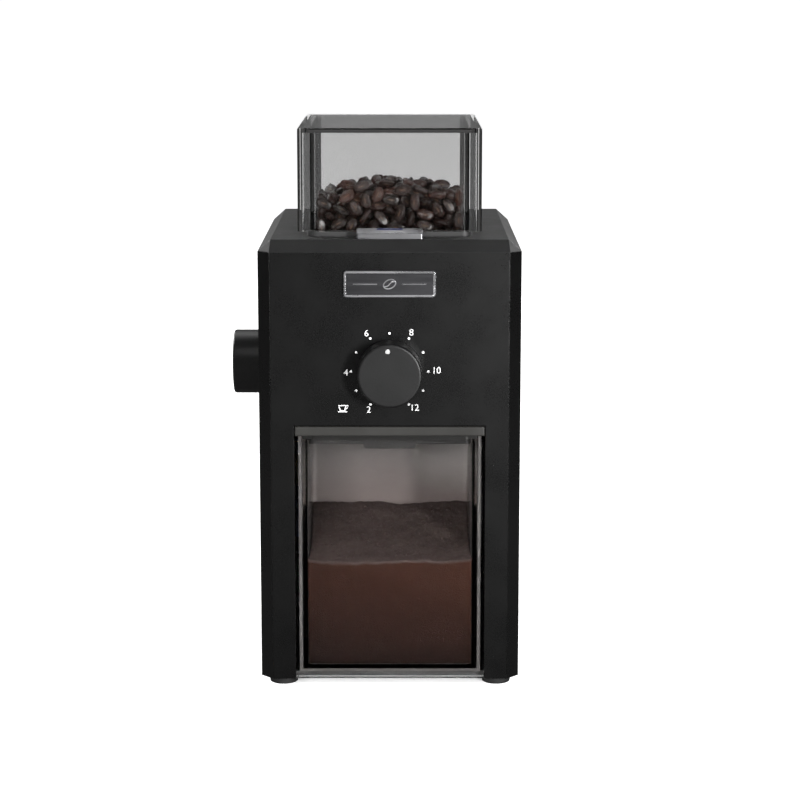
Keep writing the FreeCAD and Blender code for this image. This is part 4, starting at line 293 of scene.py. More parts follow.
def acetal(name):
    p = Paint(name, Subsurface_Weight=0.15, Subsurface_Scale=0.002)
    p.set("Base Color", p.ramp(p.noise(90, 4), [(0.3, (0.70, 0.66, 0.55)), (0.7, (0.80, 0.77, 0.68))]))
    p.set("Roughness", p.span(p.noise(400, 3), 0.32, 0.5))
    p.bumps((p.noise(900, 2), 0.15, 0.00005), edge=0.0002)
    return p.material


def circuit(name):
    """Solder mask with copper tracks showing through as paler lines."""
    p = Paint(name)
    tracks = p.cells(260, "DISTANCE_TO_EDGE", 0.85)
    pale, deep = (0.05, 0.22, 0.08), (0.015, 0.10, 0.03)
    mask = p.ramp(tracks, [(0.0, pale), (0.05, pale), (0.07, deep)])
    p.set("Base Color", p.mixed(0.15, mask, p.ramp(p.noise(40, 3), [(0.3, 0.02), (0.7, 0.1)])))
    p.set("Roughness", p.span(p.noise(300, 3), 0.25, 0.45))
    p.bumps((tracks, 0.3, 0.00005))
    return p.material


def wrapped(name, colour):
    """Glossy sleeve or moulded case of an electrical part."""
    p = Paint(name, IOR=1.5)
    p.set("Base Color", p.ramp(p.noise(70, 4), [(0.3, tuple(c * 0.7 for c in colour)), (0.7, colour)]))
    p.set("Roughness", p.span(p.noise(300, 4), 0.28, 0.5))
    p.bumps((p.noise(700, 3), 0.2, 0.00006), edge=0.0003)
    return p.material


def laminated(name):
    """A stack of thin steel sheets, seen as fine level lines."""
    p = Paint(name, Metallic=1.0)
    sheets = p.add("ShaderNodeTexWave", bands_direction="Z")
    sheets.inputs["Scale"].default_value = 300
    sheets.inputs["Distortion"].default_value = 0.4
    p.link(p.place, sheets.inputs["Vector"])
    p.set("Base Color", p.ramp(sheets.outputs["Fac"], [(0.2, 0.14), (0.6, 0.38)]))
    p.set("Roughness", p.span(p.noise(200, 3), 0.35, 0.55))
    p.bumps((sheets.outputs["Fac"], 0.4, 0.00008))
    return p.material


SLOT_LOOKS = {
    "black_plastic": moulded("shell_black", 0.0009, 0.0016, 0.29),
    "inner_plastic": moulded("inner_black", 0.010, 0.018, 0.55, grain=900, relief=0.5),
    "dial_plastic": moulded("dial_black", 0.003, 0.005, 0.43, grain=1800, relief=0.4, edge=0.0006),
    "clear_plastic": clear_wall("clear_wall", 0.03, 12, 0.838),
    "smoke_plastic": clear_wall("container_wall", 0.04, 22, 0.905),
    "smoke_lid_plastic": container_lid(),
    "rubber": rubbery("black_rubber"),
    "badge_metal": metal("badge_plate_metal", (0.085, 0.085, 0.09), 0.36, brush=(0.03, 1, 1)),
    "silver_button": metal("button_silver", (0.42, 0.42, 0.435), 0.30, brush=(0.04, 1, 1)),
    "screw_steel": metal("screw_zinc", (0.42, 0.42, 0.44), 0.34, pits=0.2),
    "plate_steel": metal("plate_zinc", (0.50, 0.50, 0.52), 0.36, brush=(0.08, 1, 1), pits=0.15),
    "shaft_steel": metal("shaft_ground", (0.56, 0.56, 0.58), 0.22, brush=(1, 1, 0.05)),
    "burr_steel": metal("burr_ground", (0.46, 0.46, 0.47), 0.3, pits=0.3),
    "rotor_steel": laminated("rotor_sheets"),
    "bronze": metal("bush_bronze", (0.50, 0.33, 0.15), 0.42, pits=0.5),
    "copper": metal("copper_bars", (0.68, 0.32, 0.17), 0.3, brush=(1, 1, 0.1)),
    "magnet": metal("magnet_sintered", (0.07, 0.07, 0.075), 0.6, pits=0.8),
    "gear_plastic": acetal("gear_acetal"),
    "switch_plastic": wrapped("switch_case", (0.030, 0.032, 0.040)),
    "board": circuit("circuit_board"),
}
NODE_LOOKS = {
    "container_bay": bay_lining(),
    "top_cover": moulded("cover_black", 0.008, 0.012, 0.42, grain=1100, relief=0.35, edge=0.0005),
    "relay": wrapped("relay_case", (0.02, 0.05, 0.16)),
    "capacitor": wrapped("capacitor_film", (0.32, 0.20, 0.03)),
    "motor_brushes": wrapped("brush_carbon", (0.03, 0.03, 0.03)),
}

# ---------------------------------------------------------------- camera, light and stage
CAMERA_PLACE = Vector((4.716, -1061.6, 326.9)) + ROW_FROM_BODY  # mm
CAMERA_DOWN = 0.16792  # radians below the level
CAMERA_SHIFT = -0.06  # sets the object as high in the picture as in the photo
FOCAL_PIXELS = 2205.1
PICTURE_PIXELS = 800
SENSOR = 36.0
NEAREST, FARTHEST = 0.01, 200

camera = bpy.data.objects.new("camera", bpy.data.cameras.new("camera"))
bpy.context.scene.collection.objects.link(camera)
camera.location = CAMERA_PLACE * MM
camera.rotation_euler = (math.pi / 2 - CAMERA_DOWN, 0, 0)
camera.data.sensor_width = SENSOR
camera.data.lens = FOCAL_PIXELS * SENSOR / PICTURE_PIXELS
camera.data.shift_y = CAMERA_SHIFT
camera.data.clip_start = NEAREST
camera.data.clip_end = FARTHEST
bpy.context.scene.camera = camera
bpy.context.scene.view_settings.view_transform = "Standard"


DIAL = (0.007, -0.07, 0.15)
LAMPS = (  # name, place, aim, width and height, power in watts, whether glossy faces mirror it
    ("key", (0.50, -0.96, 0.26), DIAL, (0.12, 0.26), 12.5, True),
    ("top", (0.1, 0.62, 1.15), (0, 0, 0.2), (0.9, 0.5), 3.8, True),
    ("rear_left", (-1.1, 1.0, 0.8), (0, 0.15, 0.1), (0.5, 0.5), 12.0, True),
    ("rear_right", (1.1, 1.0, 0.8), (0, 0.15, 0.1), (0.5, 0.5), 12.0, True),
    ("front_fill", (-0.3, -1.1, 1.2), (0, 0, 0.22), (0.5, 0.4), 1.8, True),
    ("low_fill", (-0.42, -1.35, 0.42), (0.007, -0.05, 0.08), (0.4, 0.3), 24.0, False),
)
for name, place, aim, size, power, mirrored in LAMPS:
    light = bpy.data.lights.new(name, "AREA")
    light.shape = "RECTANGLE"
    light.size, light.size_y = size
    light.energy = power
    thing = bpy.data.objects.new(name, light)
    bpy.context.scene.collection.objects.link(thing)
    thing.location = Vector(place)
    thing.rotation_euler = (Vector(aim) - Vector(place)).to_track_quat("-Z", "Y").to_euler()
    thing.visible_glossy = mirrored

SEEN_WHITE, FELT_DARK, FELT_BRIGHT = 1.0, 0.004, 0.15
BRIGHT_SIDE = (0.25, 0.95, 0.15)  # the pale backdrop is behind the object, a little to the right
DARK_UNTIL, BRIGHT_FROM = -0.3, 1.0  # how far a direction leans towards the bright side


def two_faced(tree, seen, felt, guided=0.0):
    """Straight looks and looks through clear walls get seen; what reflects or bounces first gets felt.
    Light led along inside a clear wall keeps the share guided of what is seen."""
    path = tree.nodes.new("ShaderNodeLightPath")
    turned = tree.nodes.new("ShaderNodeMath")
    turned.operation = "ADD"
    turned.use_clamp = True
    glossy = ranged(tree, path.outputs["Glossy Depth"], 0, 1, 0, 1)
    within = ranged(tree, path.outputs["Transmission Depth"], 0, 1, 1, 1 - guided)
    tree.links.new(within.outputs["Result"], glossy.inputs["To Max"])
    tree.links.new(glossy.outputs["Result"], turned.inputs[0])
    tree.links.new(path.outputs["Diffuse Depth"], turned.inputs[1])
    mix = tree.nodes.new("ShaderNodeMixShader")
    tree.links.new(turned.outputs[0], mix.inputs[0])
    tree.links.new(seen.outputs[0], mix.inputs[1])
    tree.links.new(felt.outputs[0], mix.inputs[2])
    return mix


world = bpy.data.worlds.new("studio")
bpy.context.scene.world = world
world.use_nodes = True
sky = world.node_tree
sky.nodes.clear()
seen_sky, felt_sky = (sky.nodes.new("ShaderNodeBackground") for _ in range(2))
seen_sky.inputs["Color"].default_value = (1, 1, 1, 1)
seen_sky.inputs["Strength"].default_value = SEEN_WHITE
felt_sky.inputs["Color"].default_value = (1, 1, 1, 1)
facing = sky.nodes.new("ShaderNodeVectorMath")
facing.operation = "DOT_PRODUCT"
facing.inputs[1].default_value = BRIGHT_SIDE
sky.links.new(sky.nodes.new("ShaderNodeTexCoord").outputs["Generated"], facing.inputs[0])
fade = ranged(sky, facing.outputs["Value"], DARK_UNTIL, BRIGHT_FROM, FELT_DARK, FELT_BRIGHT)
fade.interpolation_type = "SMOOTHSTEP"
sky.links.new(fade.outputs["Result"], felt_sky.inputs["Strength"])
sky_out = sky.nodes.new("ShaderNodeOutputWorld")
sky.links.new(two_faced(sky, seen_sky, felt_sky).outputs[0], sky_out.inputs["Surface"])

FLOOR_HALF = 40.0
FLOOR_PALE, FLOOR_DIM = (0.85, 0.85, 0.85, 1), (0.08, 0.08, 0.08, 1)
SHELTER_REACH, SHELTER_SAMPLES = 0.08, 8
OPENNESS, GLOW = (0.02, 0.14), (0.02, 0.93)  # the floor glows less where the object shelters it
LED_SHARE = 0.10  # of the floor's glow, for light led along inside a clear wall
floor_mesh = bpy.data.meshes.new("floor")
floor_corners = [(x * FLOOR_HALF, y * FLOOR_HALF, 0) for x, y in ((-1, -1), (1, -1), (1, 1), (-1, 1))]
floor_mesh.from_pydata(floor_corners, [], [(0, 1, 2, 3)])
floor = bpy.data.objects.new("floor", floor_mesh)
bpy.context.scene.collection.objects.link(floor)
pale = bpy.data.materials.new("floor_pale")
pale.use_nodes = True
tree = pale.node_tree
tree.nodes.clear()
lit = tree.nodes.new("ShaderNodeBsdfDiffuse")
lit.inputs["Color"].default_value = FLOOR_PALE
glow = tree.nodes.new("ShaderNodeEmission")
shelter = tree.nodes.new("ShaderNodeAmbientOcclusion")
shelter.samples = SHELTER_SAMPLES
shelter.inputs["Distance"].default_value = SHELTER_REACH
open_sky = ranged(tree, shelter.outputs["AO"], *OPENNESS, *GLOW)
tree.links.new(open_sky.outputs["Result"], glow.inputs["Strength"])
bright = tree.nodes.new("ShaderNodeAddShader")
tree.links.new(lit.outputs[0], bright.inputs[0])
tree.links.new(glow.outputs[0], bright.inputs[1])
dim = tree.nodes.new("ShaderNodeBsdfDiffuse")
dim.inputs["Color"].default_value = FLOOR_DIM
floor_out = tree.nodes.new("ShaderNodeOutputMaterial")
tree.links.new(two_faced(tree, bright, dim, guided=LED_SHARE).outputs[0], floor_out.inputs["Surface"])
floor_mesh.materials.append(pale)


# ---------------------------------------------------------------- pieces: helpers
def piece(name, mesh, look, body, smooth=True):
    """Puts a mesh in the scene with its look and the body it rides on."""
    thing = bpy.data.objects.new(name, mesh)
    bpy.context.scene.collection.objects.link(thing)
    mesh.materials.clear()
    mesh.materials.append(look)
    mesh.polygons.foreach_set("use_smooth", [smooth] * len(mesh.polygons))
    mesh.update()
    bpy.context.view_layer.update()
    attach(thing, body)
    return thing


def mesh_from(name, points, faces):
    mesh = bpy.data.meshes.new(name)
    mesh.from_pydata([tuple(p) for p in points], [], [tuple(f) for f in faces])
    mesh.validate()
    mesh.update()
    return mesh


def outward(mesh):
    """Turns the faces of closed shapes outwards."""
    work = bmesh.new()
    work.from_mesh(mesh)
    bmesh.ops.recalc_face_normals(work, faces=work.faces)
    work.to_mesh(mesh)
    work.free()
    return mesh


def joined(meshes, name):
    """One mesh from several (mesh, matrix) pairs."""
    whole = bmesh.new()
    for mesh, matrix in meshes:
        part = mesh.copy()
        part.transform(matrix)
        whole.from_mesh(part)
        bpy.data.meshes.remove(part)
    out = bpy.data.meshes.new(name)
    whole.to_mesh(out)
    whole.free()
    return out


# ---------------------------------------------------------------- coffee beans
# Lengths in millimetres. A bean settles as two balls on a rod, and gets its real shape afterwards.
BEAN_COUNT = 1020
BEAN_BALL = 2.65
BEAN_ROD = 2.9
BEAN_SIZE = np.array((4.25, 2.75, 2.2))
BEAN_SMALLEST = 0.86  # of that size
TO_FRONT = np.array((0, -4.0, 1.0))  # many beans turn their creased side this way
TURNED_SHARE = 0.55
LOW_BEANS, HIGH_BEANS = 208.0, 228.0  # painted shade: beans are darker towards the bottom of this range, where less light reaches
DARKEST_PAINTED_SHADE = 0.35
SLOPE_LOW, SLOPE_TOP = 183.0, 205.0
SPOUT_HALF, SPOUT_Y = 14.5, -26.0
FUNNEL_MARGIN = 0.35  # of a ball, kept from the funnel's slopes
WALL = 2.0
CLEARANCE = 0.25

GRID = (8, 11)  # beans in one layer at the start
FIRST_LAYER, LAYER_STEP, SCATTER = 208, 6.4, 0.5
LEVELLED = 0.45  # how far the beans stand up at the start
TICKS, CALM_FROM = 420, 320
FALL, CALM_FALL = 0.10, 0.05
KEPT_SPEED, TOP_SPEED = 0.86, 1.6
SEARCH_EVERY, SEARCH_GAP = 4, 2.6
PASSES = 5
SHARED_PUSH, CROWDING, EAGERNESS = 0.5, 0.35, 1.15
TOUCH_GAP, LOWER_BY = 0.8, 0.5  # a bean is held up by one this near and this much lower
TINY = 1e-9  # keeps divisions safe


def hopper_room():
    low, high = (np.array(corner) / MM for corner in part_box("hopper"))
    return low[:2] + WALL + CLEARANCE, high[:2] - WALL - CLEARANCE


def settle_beans(rng):
    """Drops balls joined in pairs into the hopper until they rest. Returns the centres of both balls."""
    low, high = hopper_room()
    spout = np.array((ROW_FROM_BODY[0], ROW_FROM_BODY[1] + SPOUT_Y))
    layers = BEAN_COUNT // (GRID[0] * GRID[1]) + 1
    cells = [(i, j, k) for k in range(layers) for i in range(GRID[0]) for j in range(GRID[1])]
    step = (high - low - 2 * BEAN_BALL) / (np.array(GRID) - 1)
    corner = low + BEAN_BALL
    start = np.array([
        (corner[0] + step[0] * i, corner[1] + step[1] * j, FIRST_LAYER + LAYER_STEP * k)
        for i, j, k in cells[:BEAN_COUNT]
    ])
    start += rng.normal(0, SCATTER, start.shape)
    turn = rng.normal(0, 1, start.shape) * (1, 1, LEVELLED)
    turn /= np.linalg.norm(turn, axis=1)[:, None]
    here = np.concatenate((start - turn * BEAN_ROD / 2, start + turn * BEAN_ROD / 2))
    was = here.copy()
    n = len(start)
    mate = np.concatenate((np.arange(n) + n, np.arange(n)))
    for tick in range(TICKS):
        drop = (here - was) * KEPT_SPEED
        drop[:, 2] -= FALL if tick < CALM_FROM else CALM_FALL
        was = here.copy()
        here = here + np.clip(drop, -TOP_SPEED, TOP_SPEED)
        if tick % SEARCH_EVERY == 0:
            near = np.triu(gap2_of(here) < (2 * BEAN_BALL + SEARCH_GAP) ** 2, 1)
            near[np.arange(2 * n), mate] = False
            a, b = np.nonzero(near)
        for _ in range(PASSES):
            apart = here[b] - here[a]
            far = np.linalg.norm(apart, axis=1) + TINY
            push = np.clip(2 * BEAN_BALL - far, 0, None)[:, None] * apart / far[:, None] * SHARED_PUSH
            hit = push.any(axis=1)
            shove, times = np.zeros_like(here), np.ones(2 * n)
            np.add.at(shove, a[hit], -push[hit])
            np.add.at(shove, b[hit], push[hit])
            np.add.at(times, a[hit], CROWDING)
            np.add.at(times, b[hit], CROWDING)
            here += shove / times[:, None] * EAGERNESS
            rod = here[n:] - here[:n]
            length = np.linalg.norm(rod, axis=1)[:, None] + TINY
            fix = rod / length * (length - BEAN_ROD) / 2
            here[:n] += fix
            here[n:] -= fix
            rise = np.clip((here[:, 2] - SLOPE_LOW) / (SLOPE_TOP - SLOPE_LOW), 0, 1)[:, None]
            room = BEAN_BALL * (1 + FUNNEL_MARGIN * (rise < 1))
            lows = (spout - SPOUT_HALF) * (1 - rise) + low * rise + room
            highs = (spout + SPOUT_HALF) * (1 - rise) + high * rise - room
            here[:, :2] = np.clip(here[:, :2], lows, highs)
            here[:, 2] = np.maximum(here[:, 2], SLOPE_LOW + BEAN_BALL)
    lower = here[None, :, 2] < here[:, None, 2] - LOWER_BY
    held = (gap2_of(here) < (2 * BEAN_BALL + TOUCH_GAP) ** 2) & lower
    held[np.arange(2 * n), mate] = False
    kept = held[:n].any(axis=1) | held[n:].any(axis=1) | (here[:n, 2] < SLOPE_TOP)
    return here[:n][kept], here[n:][kept]


def gap2_of(places):
    """Squared distances between all pairs of places."""
    middle = places - places.mean(axis=0)
    size2 = (middle ** 2).sum(axis=1)
    return size2[:, None] + size2[None, :] - 2 * middle @ middle.T


BEAN_RINGS, BEAN_AROUND = 9, 12
BLUNTNESS = 0.9
FLAT_SIDE = 0.55
CREASE_WIDTH, CREASE_DEPTH, CREASE_BEND = 0.17, 0.34, 0.10


def bean_shape():
    """Points, faces and crease weights of one bean, long side along X, flat side towards -Z."""
    rings, around = BEAN_RINGS, BEAN_AROUND
    points, faces, crease = [(-1.0, 0, 0)], [], [0.0]
    for i in range(1, rings):
        lie = -math.cos(math.pi * i / rings)
        wide = math.sqrt(1 - lie * lie) ** BLUNTNESS
        for j in range(around):
            turn = 2 * math.pi * j / around + math.pi / 2
            y, z = math.cos(turn) * wide, math.sin(turn) * wide
            dent = 0.0
            if z < 0:
                z *= FLAT_SIDE
                bend = CREASE_BEND * math.sin(lie * math.pi)
                dent = math.exp(-(((y - bend) / CREASE_WIDTH) ** 2)) * (1 - lie ** 4)
                z += CREASE_DEPTH * dent
            points.append((lie, y, z))
            crease.append(dent)
    points.append((1.0, 0, 0))
    crease.append(0.0)
    for j in range(around):
        k = (j + 1) % around
        faces.append((0, 1 + k, 1 + j))
        for i in range(rings - 2):
            a, b = 1 + i * around, 1 + (i + 1) * around
            faces.append((a + j, a + k, b + k, b + j))
        last = 1 + (rings - 2) * around
        faces.append((last + j, last + k, len(points) - 1))
    return np.array(points), faces, np.array(crease)


def bean_look():
    p = Paint("roasted_bean", IOR=1.45, Coat_Weight=0.45, Coat_Roughness=0.2)
    # the tone attribute holds random roast tone and painted shade on the lower beans
    tone_and_shade, crease = p.attribute("tone_and_shade"), p.attribute("crease")
    dark, roasted, pale = (0.0014, 0.0005, 0.0004), (0.0075, 0.0023, 0.0016), (0.036, 0.0125, 0.008)
    skin = p.ramp(tone_and_shade, [(0.0, dark), (0.5, roasted), (1.0, pale)])
    mottled = p.mixed(p.span(p.noise(650, 4), 0.0, 0.4), skin, (0.012, 0.0046, 0.0032))
    chaff = p.mixed(p.span(crease, 0.0, 0.7, 0.6, 1.0), mottled, (0.20, 0.125, 0.085))
    p.set("Base Color", chaff)
    p.set("Roughness", p.span(p.noise(420, 4), 0.26, 0.5))
    wrinkles = p.noise(420, 4, 0.65, distortion=1.2)
    p.bumps((wrinkles, 1.0, 0.0016), (p.noise(1500, 2), 0.4, 0.0002))
    return p.material


def make_beans():
    rng = np.random.default_rng(SEED)
    first, second = settle_beans(rng)
    shape, faces, crease = bean_shape()
    points, all_faces, tones_and_shade, creases = [], [], [], []
    for one, other in zip(first, second):
        along = (other - one) / np.linalg.norm(other - one)
        facing = rng.normal(0, 1, 3) + (TO_FRONT if rng.random() < TURNED_SHARE else 0)
        side = np.cross(along, facing)
        side /= np.linalg.norm(side)
        own_axes = np.stack((along, side, np.cross(along, side)))
        size = BEAN_SIZE * rng.uniform(BEAN_SMALLEST, 1.0, 3)
        base = len(tones_and_shade) * len(shape)
        bow = (0, rng.uniform(-0.12, 0.12), rng.uniform(-0.14, 0.06))
        bent = shape + np.outer(shape[:, 0] ** 2 - 0.4, bow)
        points.append(bent * size @ own_axes + (one + other) / 2)
        all_faces += [tuple(base + i for i in face) for face in faces]
        height = ((one[2] + other[2]) / 2 - LOW_BEANS) / (HIGH_BEANS - LOW_BEANS)
        # random roast tone, times painted shade that darkens the lower beans
        tones_and_shade.append(np.clip(rng.normal(0.5, 0.24), 0, 1) * np.clip(height, DARKEST_PAINTED_SHADE, 1))
        creases.append(crease)
    mesh = mesh_from("coffee_beans", np.concatenate(points) * MM, all_faces)
    tone_and_shade = mesh.attributes.new("tone_and_shade", "FLOAT", "POINT")
    tone_and_shade.data.foreach_set("value", np.repeat(tones_and_shade, len(shape)))
    crease_layer = mesh.attributes.new("crease", "FLOAT", "POINT")
    crease_layer.data.foreach_set("value", np.concatenate(creases))
    piece("coffee_beans", mesh, bean_look(), "housing")


# ---------------------------------------------------------------- ground coffee
def soft_noise(rng, shape, cells):
    """Smooth noise in -1..1 on a grid, from random values on a coarser one."""
    coarse = rng.uniform(-1, 1, (cells[0] + 1, cells[1] + 1))
    u, v = np.linspace(0, cells[0] - 1e-6, shape[0]), np.linspace(0, cells[1] - 1e-6, shape[1])
    i, j = u.astype(int), v.astype(int)
    fu, fv = ((f - f.astype(int)) for f in (u, v))
    fu, fv = (f * f * (3 - 2 * f) for f in (fu, fv))
    top = coarse[np.ix_(i, j)] * (1 - fv) + coarse[np.ix_(i, j + 1)] * fv
    bottom = coarse[np.ix_(i + 1, j)] * (1 - fv) + coarse[np.ix_(i + 1, j + 1)] * fv
    return top * (1 - fu[:, None]) + bottom * fu[:, None]


FRONT_PAINTED_SHADE_Z = (0.19, 0.80, 0.012, 0.066)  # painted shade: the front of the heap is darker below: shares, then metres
FRONT_PAINTED_SHADE_X = (0.75, 1.15, -0.03, 0.045)  # and darker on the left, away from the key lamp


def ground_look():
    p = Paint("ground_coffee", IOR=1.4, Specular_IOR_Level=0.15)
    grain = p.cells(1900)
    fine = p.noise(2900, 3, 0.7)
    dark, brown, pale = (0.0060, 0.0020, 0.0012), (0.020, 0.0070, 0.0038), (0.050, 0.020, 0.0115)
    base = p.ramp(grain, [(0.0, dark), (0.45, brown), (0.9, pale)])
    speckled = p.mixed(p.span(fine, 0.0, 0.6), base, (0.013, 0.0045, 0.0028))
    place = p.axes()
    # painted shade: the front grows darker downwards and to the left
    height = p.span(place["Z"], *FRONT_PAINTED_SHADE_Z)
    across = p.span(place["X"], *FRONT_PAINTED_SHADE_X)
    painted_shade = p.mixed(1.0, height, across, blend="MULTIPLY")
    front = p.mixed(1.0, speckled, painted_shade, blend="MULTIPLY")
    dusty = p.ramp(fine, [(0.25, (0.0185, 0.0125, 0.0115)), (0.8, (0.038, 0.028, 0.0255))])
    p.set("Base Color", p.mixed(p.attribute("heap"), front, dusty))
    p.set("Roughness", p.span(p.noise(600, 3), 0.7, 0.95))
    p.bumps((grain, 0.7, 0.00028), (fine, 0.5, 0.00012))
    return p.material


# Lengths in millimetres.
HEAP_HALF_X, HEAP_FLOOR = 37.95, 11.3
HEAP_FROM_FRONT, HEAP_FROM_REAR = 3.25, 2.25
HEAP_FRONT, HEAP_RISE, HEAP_CURVE = 60.5, 14.5, 0.9
HEAP_WAVES = ((0.7, (5, 3)), (0.45, (14, 10)), (0.3, (42, 30)))  # height, and cells across and along
HEAP_GRID = (86, 64)
SIDE_LEVELS, SIDE_CELLS, SIDE_DENT = 34, (16, 90), 0.28
CRUMBS, CRUMB_SIZE, CRUMB_STRETCH = 420, (0.25, 0.6), (0.7, 1.2)
CRUMB_MARGIN, CRUMB_PROUD = 3, 0.25
FULL_TURN = 6.28


def make_grounds():
    """A heap with a wavy top and slightly uneven sides, and loose crumbs on top."""
    rng = np.random.default_rng(SEED + 1)
    low, high = (np.array(corner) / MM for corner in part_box("container"))
    x0, x1 = ROW_FROM_BODY[0] - HEAP_HALF_X, ROW_FROM_BODY[0] + HEAP_HALF_X
    y0, y1 = low[1] + HEAP_FROM_FRONT, high[1] - HEAP_FROM_REAR
    nx, ny = HEAP_GRID
    xs, ys = np.linspace(x0, x1, nx), np.linspace(y0, y1, ny)
    depth = (ys - y0) / (y1 - y0)
    heap = HEAP_FRONT + HEAP_RISE * depth[None, :] ** HEAP_CURVE
    for rise, cells in HEAP_WAVES:
        heap = heap + rise * soft_noise(rng, (nx, ny), cells)
    points = [(xs[i], ys[j], heap[i, j]) for i in range(nx) for j in range(ny)]
    corners = [i * ny + j for i in range(nx - 1) for j in range(ny - 1)]
    faces = [(k, k + ny, k + ny + 1, k + 1) for k in corners]
    rim = [(i, 0) for i in range(nx)] + [(nx - 1, j) for j in range(1, ny)]
    rim += [(i, ny - 1) for i in range(nx - 2, -1, -1)] + [(0, j) for j in range(ny - 2, 0, -1)]
    above = [i * ny + j for i, j in rim]
    middle = np.array(((x0 + x1) / 2, (y0 + y1) / 2))
    wobble = soft_noise(rng, (SIDE_LEVELS, len(rim)), SIDE_CELLS)
    for level in range(1, SIDE_LEVELS):
        share = level / (SIDE_LEVELS - 1)
        row = []
        for k, (i, j) in enumerate(rim):
            inward = SIDE_DENT * (0.5 + 0.5 * wobble[level, k])
            x, y = xs[i], ys[j]
            x -= math.copysign(inward, x - middle[0]) if i in (0, nx - 1) else 0
            y -= math.copysign(inward, y - middle[1]) if j in (0, ny - 1) else 0
            points.append((x, y, heap[i, j] + (HEAP_FLOOR - heap[i, j]) * share))
            row.append(len(points) - 1)
        for k in range(len(rim)):
            following = (k + 1) % len(rim)
            faces.append((above[following], above[k], row[k], row[following]))
        above = row
    faces.append(tuple(above[::-1]))
    crumb, crumb_faces = crumb_shape()
    for _ in range(CRUMBS):
        i, j = rng.integers(CRUMB_MARGIN, nx - CRUMB_MARGIN), rng.integers(CRUMB_MARGIN, ny - CRUMB_MARGIN)
        size = rng.uniform(*CRUMB_SIZE)
        base = len(points)
        spin = Matrix.Rotation(rng.uniform(0, FULL_TURN), 3, "Z")
        spin = spin @ Matrix.Rotation(rng.uniform(0, FULL_TURN), 3, "X")
        lump = crumb * rng.uniform(*CRUMB_STRETCH, 3) * size @ np.array(spin)
        points += [tuple(p) for p in lump + (xs[i], ys[j], heap[i, j] + CRUMB_PROUD * size)]
        faces += [tuple(base + q for q in face) for face in crumb_faces]
    mesh = mesh_from("ground_coffee", np.array(points) * MM, faces)
    on_top = np.zeros(len(mesh.vertices))
    on_top[:nx * ny] = 1
    on_top[len(points) - CRUMBS * len(crumb):] = 1
    mesh.attributes.new("heap", "FLOAT", "POINT").data.foreach_set("value", on_top)
    piece("ground_coffee", mesh, ground_look(), "drawer")


def crumb_shape():
    ball = bmesh.new()
    bmesh.ops.create_icosphere(ball, subdivisions=1, radius=1.0)
    ball.verts.ensure_lookup_table()
    points = np.array([tuple(v.co) for v in ball.verts])
    faces = [tuple(v.index for v in face.verts) for face in ball.faces]
    ball.free()
    return points, faces


# ---------------------------------------------------------------- print on the front
# Lengths in millimetres.
PRINT_PROUD = 0.05
DIAL_CENTRE = Vector((7.0, 0, 150.4))
DOT_ANGLES, DOT_RING, DOT_RADIUS = range(-60, 241, 30), 17.6, 0.58
NUMBER_HEIGHT, FONT_PER_HEIGHT, NUMBER_BOLDER = 3.1, 1.36, 0.015
NUMBERS = {  # centres, from the dial's centre
    "6": (-10.5, 17.5), "8": (9.9, 17.9), "10": (21.3, 0.4),
    "12": (11.35, -16.9), "2": (-9.55, -17.8), "4": (-19.9, -0.6),
}
CUP_AT = (-21.4, -17.2)
CUP_STROKES = (  # width, path: the bowl, the brim with the handle, the saucer
    (0.45, ((-1.9, 1.35), (-1.0, -1.0), (0.8, -1.0), (1.5, 1.35))),
    (0.42, ((-2.1, 1.4), (2.7, 1.4), (1.9, 0.1), (1.2, -0.1))),
    (0.45, ((-2.2, -1.5), (2.0, -1.5))),
)


def disc(x, z, radius, steps=24):
    """Outline points of a round dot, in the panel's plane."""
    angles = [2 * math.pi * k / steps for k in range(steps)]
    return [(x + radius * math.cos(a), z + radius * math.sin(a)) for a in angles]


def stroke(path, width, closed=False):
    """Outline quads that follow a path with the given width, corners mitred."""
    n = len(path)
    sides = []
    for k in range(n):
        before = path[k - 1] if (k or closed) else path[k]
        after = path[(k + 1) % n] if (k < n - 1 or closed) else path[k]
        run = Vector((after[0] - before[0], after[1] - before[1])).normalized()
        turn = 1.0
        if 0 < k < n - 1 or closed:
            into = Vector((path[k][0] - before[0], path[k][1] - before[1])).normalized()
            turn = 1 / max(0.5, run.dot(into))
        out = Vector((-run[1], run[0])) * width / 2 * turn
        x, z = path[k]
        sides.append(((x + out[0], z + out[1]), (x - out[0], z - out[1])))
    count = n if closed else n - 1
    pairs = [(sides[k], sides[(k + 1) % n]) for k in range(count)]
    return [[here[0], here[1], there[1], there[0]] for here, there in pairs]


def slab(outlines, thick, name):
    """Thin raised print: each outline becomes a closed sheet, thick high, facing -Y at y 0."""
    points, faces = [], []
    for outline in outlines:
        n, base = len(outline), len(points)
        points += [(x * MM, y * MM, z * MM) for y in (0, -thick) for x, z in outline]
        faces.append(tuple(base + k for k in range(n)))
        faces.append(tuple(base + n + k for k in range(n))[::-1])
        faces += [(base + k, base + n + k, base + n + (k + 1) % n, base + (k + 1) % n) for k in range(n)]
    return outward(mesh_from(name, points, faces))


def number_mesh(text, x, z):
    """A number in Blender's built-in font, centred on (x, z), facing -Y, and the matrix that places it."""
    curve = bpy.data.curves.new("number", "FONT")
    curve.body = text
    curve.align_x, curve.align_y = "CENTER", "CENTER"
    curve.size = NUMBER_HEIGHT * FONT_PER_HEIGHT * MM
    curve.offset = NUMBER_BOLDER * MM
    curve.extrude = PRINT_PROUD * MM / 2
    curve.resolution_u = 6
    thing = bpy.data.objects.new("number", curve)
    bpy.context.scene.collection.objects.link(thing)
    bpy.context.view_layer.update()
    solid = thing.evaluated_get(bpy.context.evaluated_depsgraph_get())
    mesh = bpy.data.meshes.new_from_object(solid)
    bpy.data.objects.remove(thing)
    bpy.data.curves.remove(curve)
    place = Matrix.Translation((x * MM, -PRINT_PROUD * MM / 2, z * MM)) @ Matrix.Rotation(math.pi / 2, 4, "X")
    return mesh, place


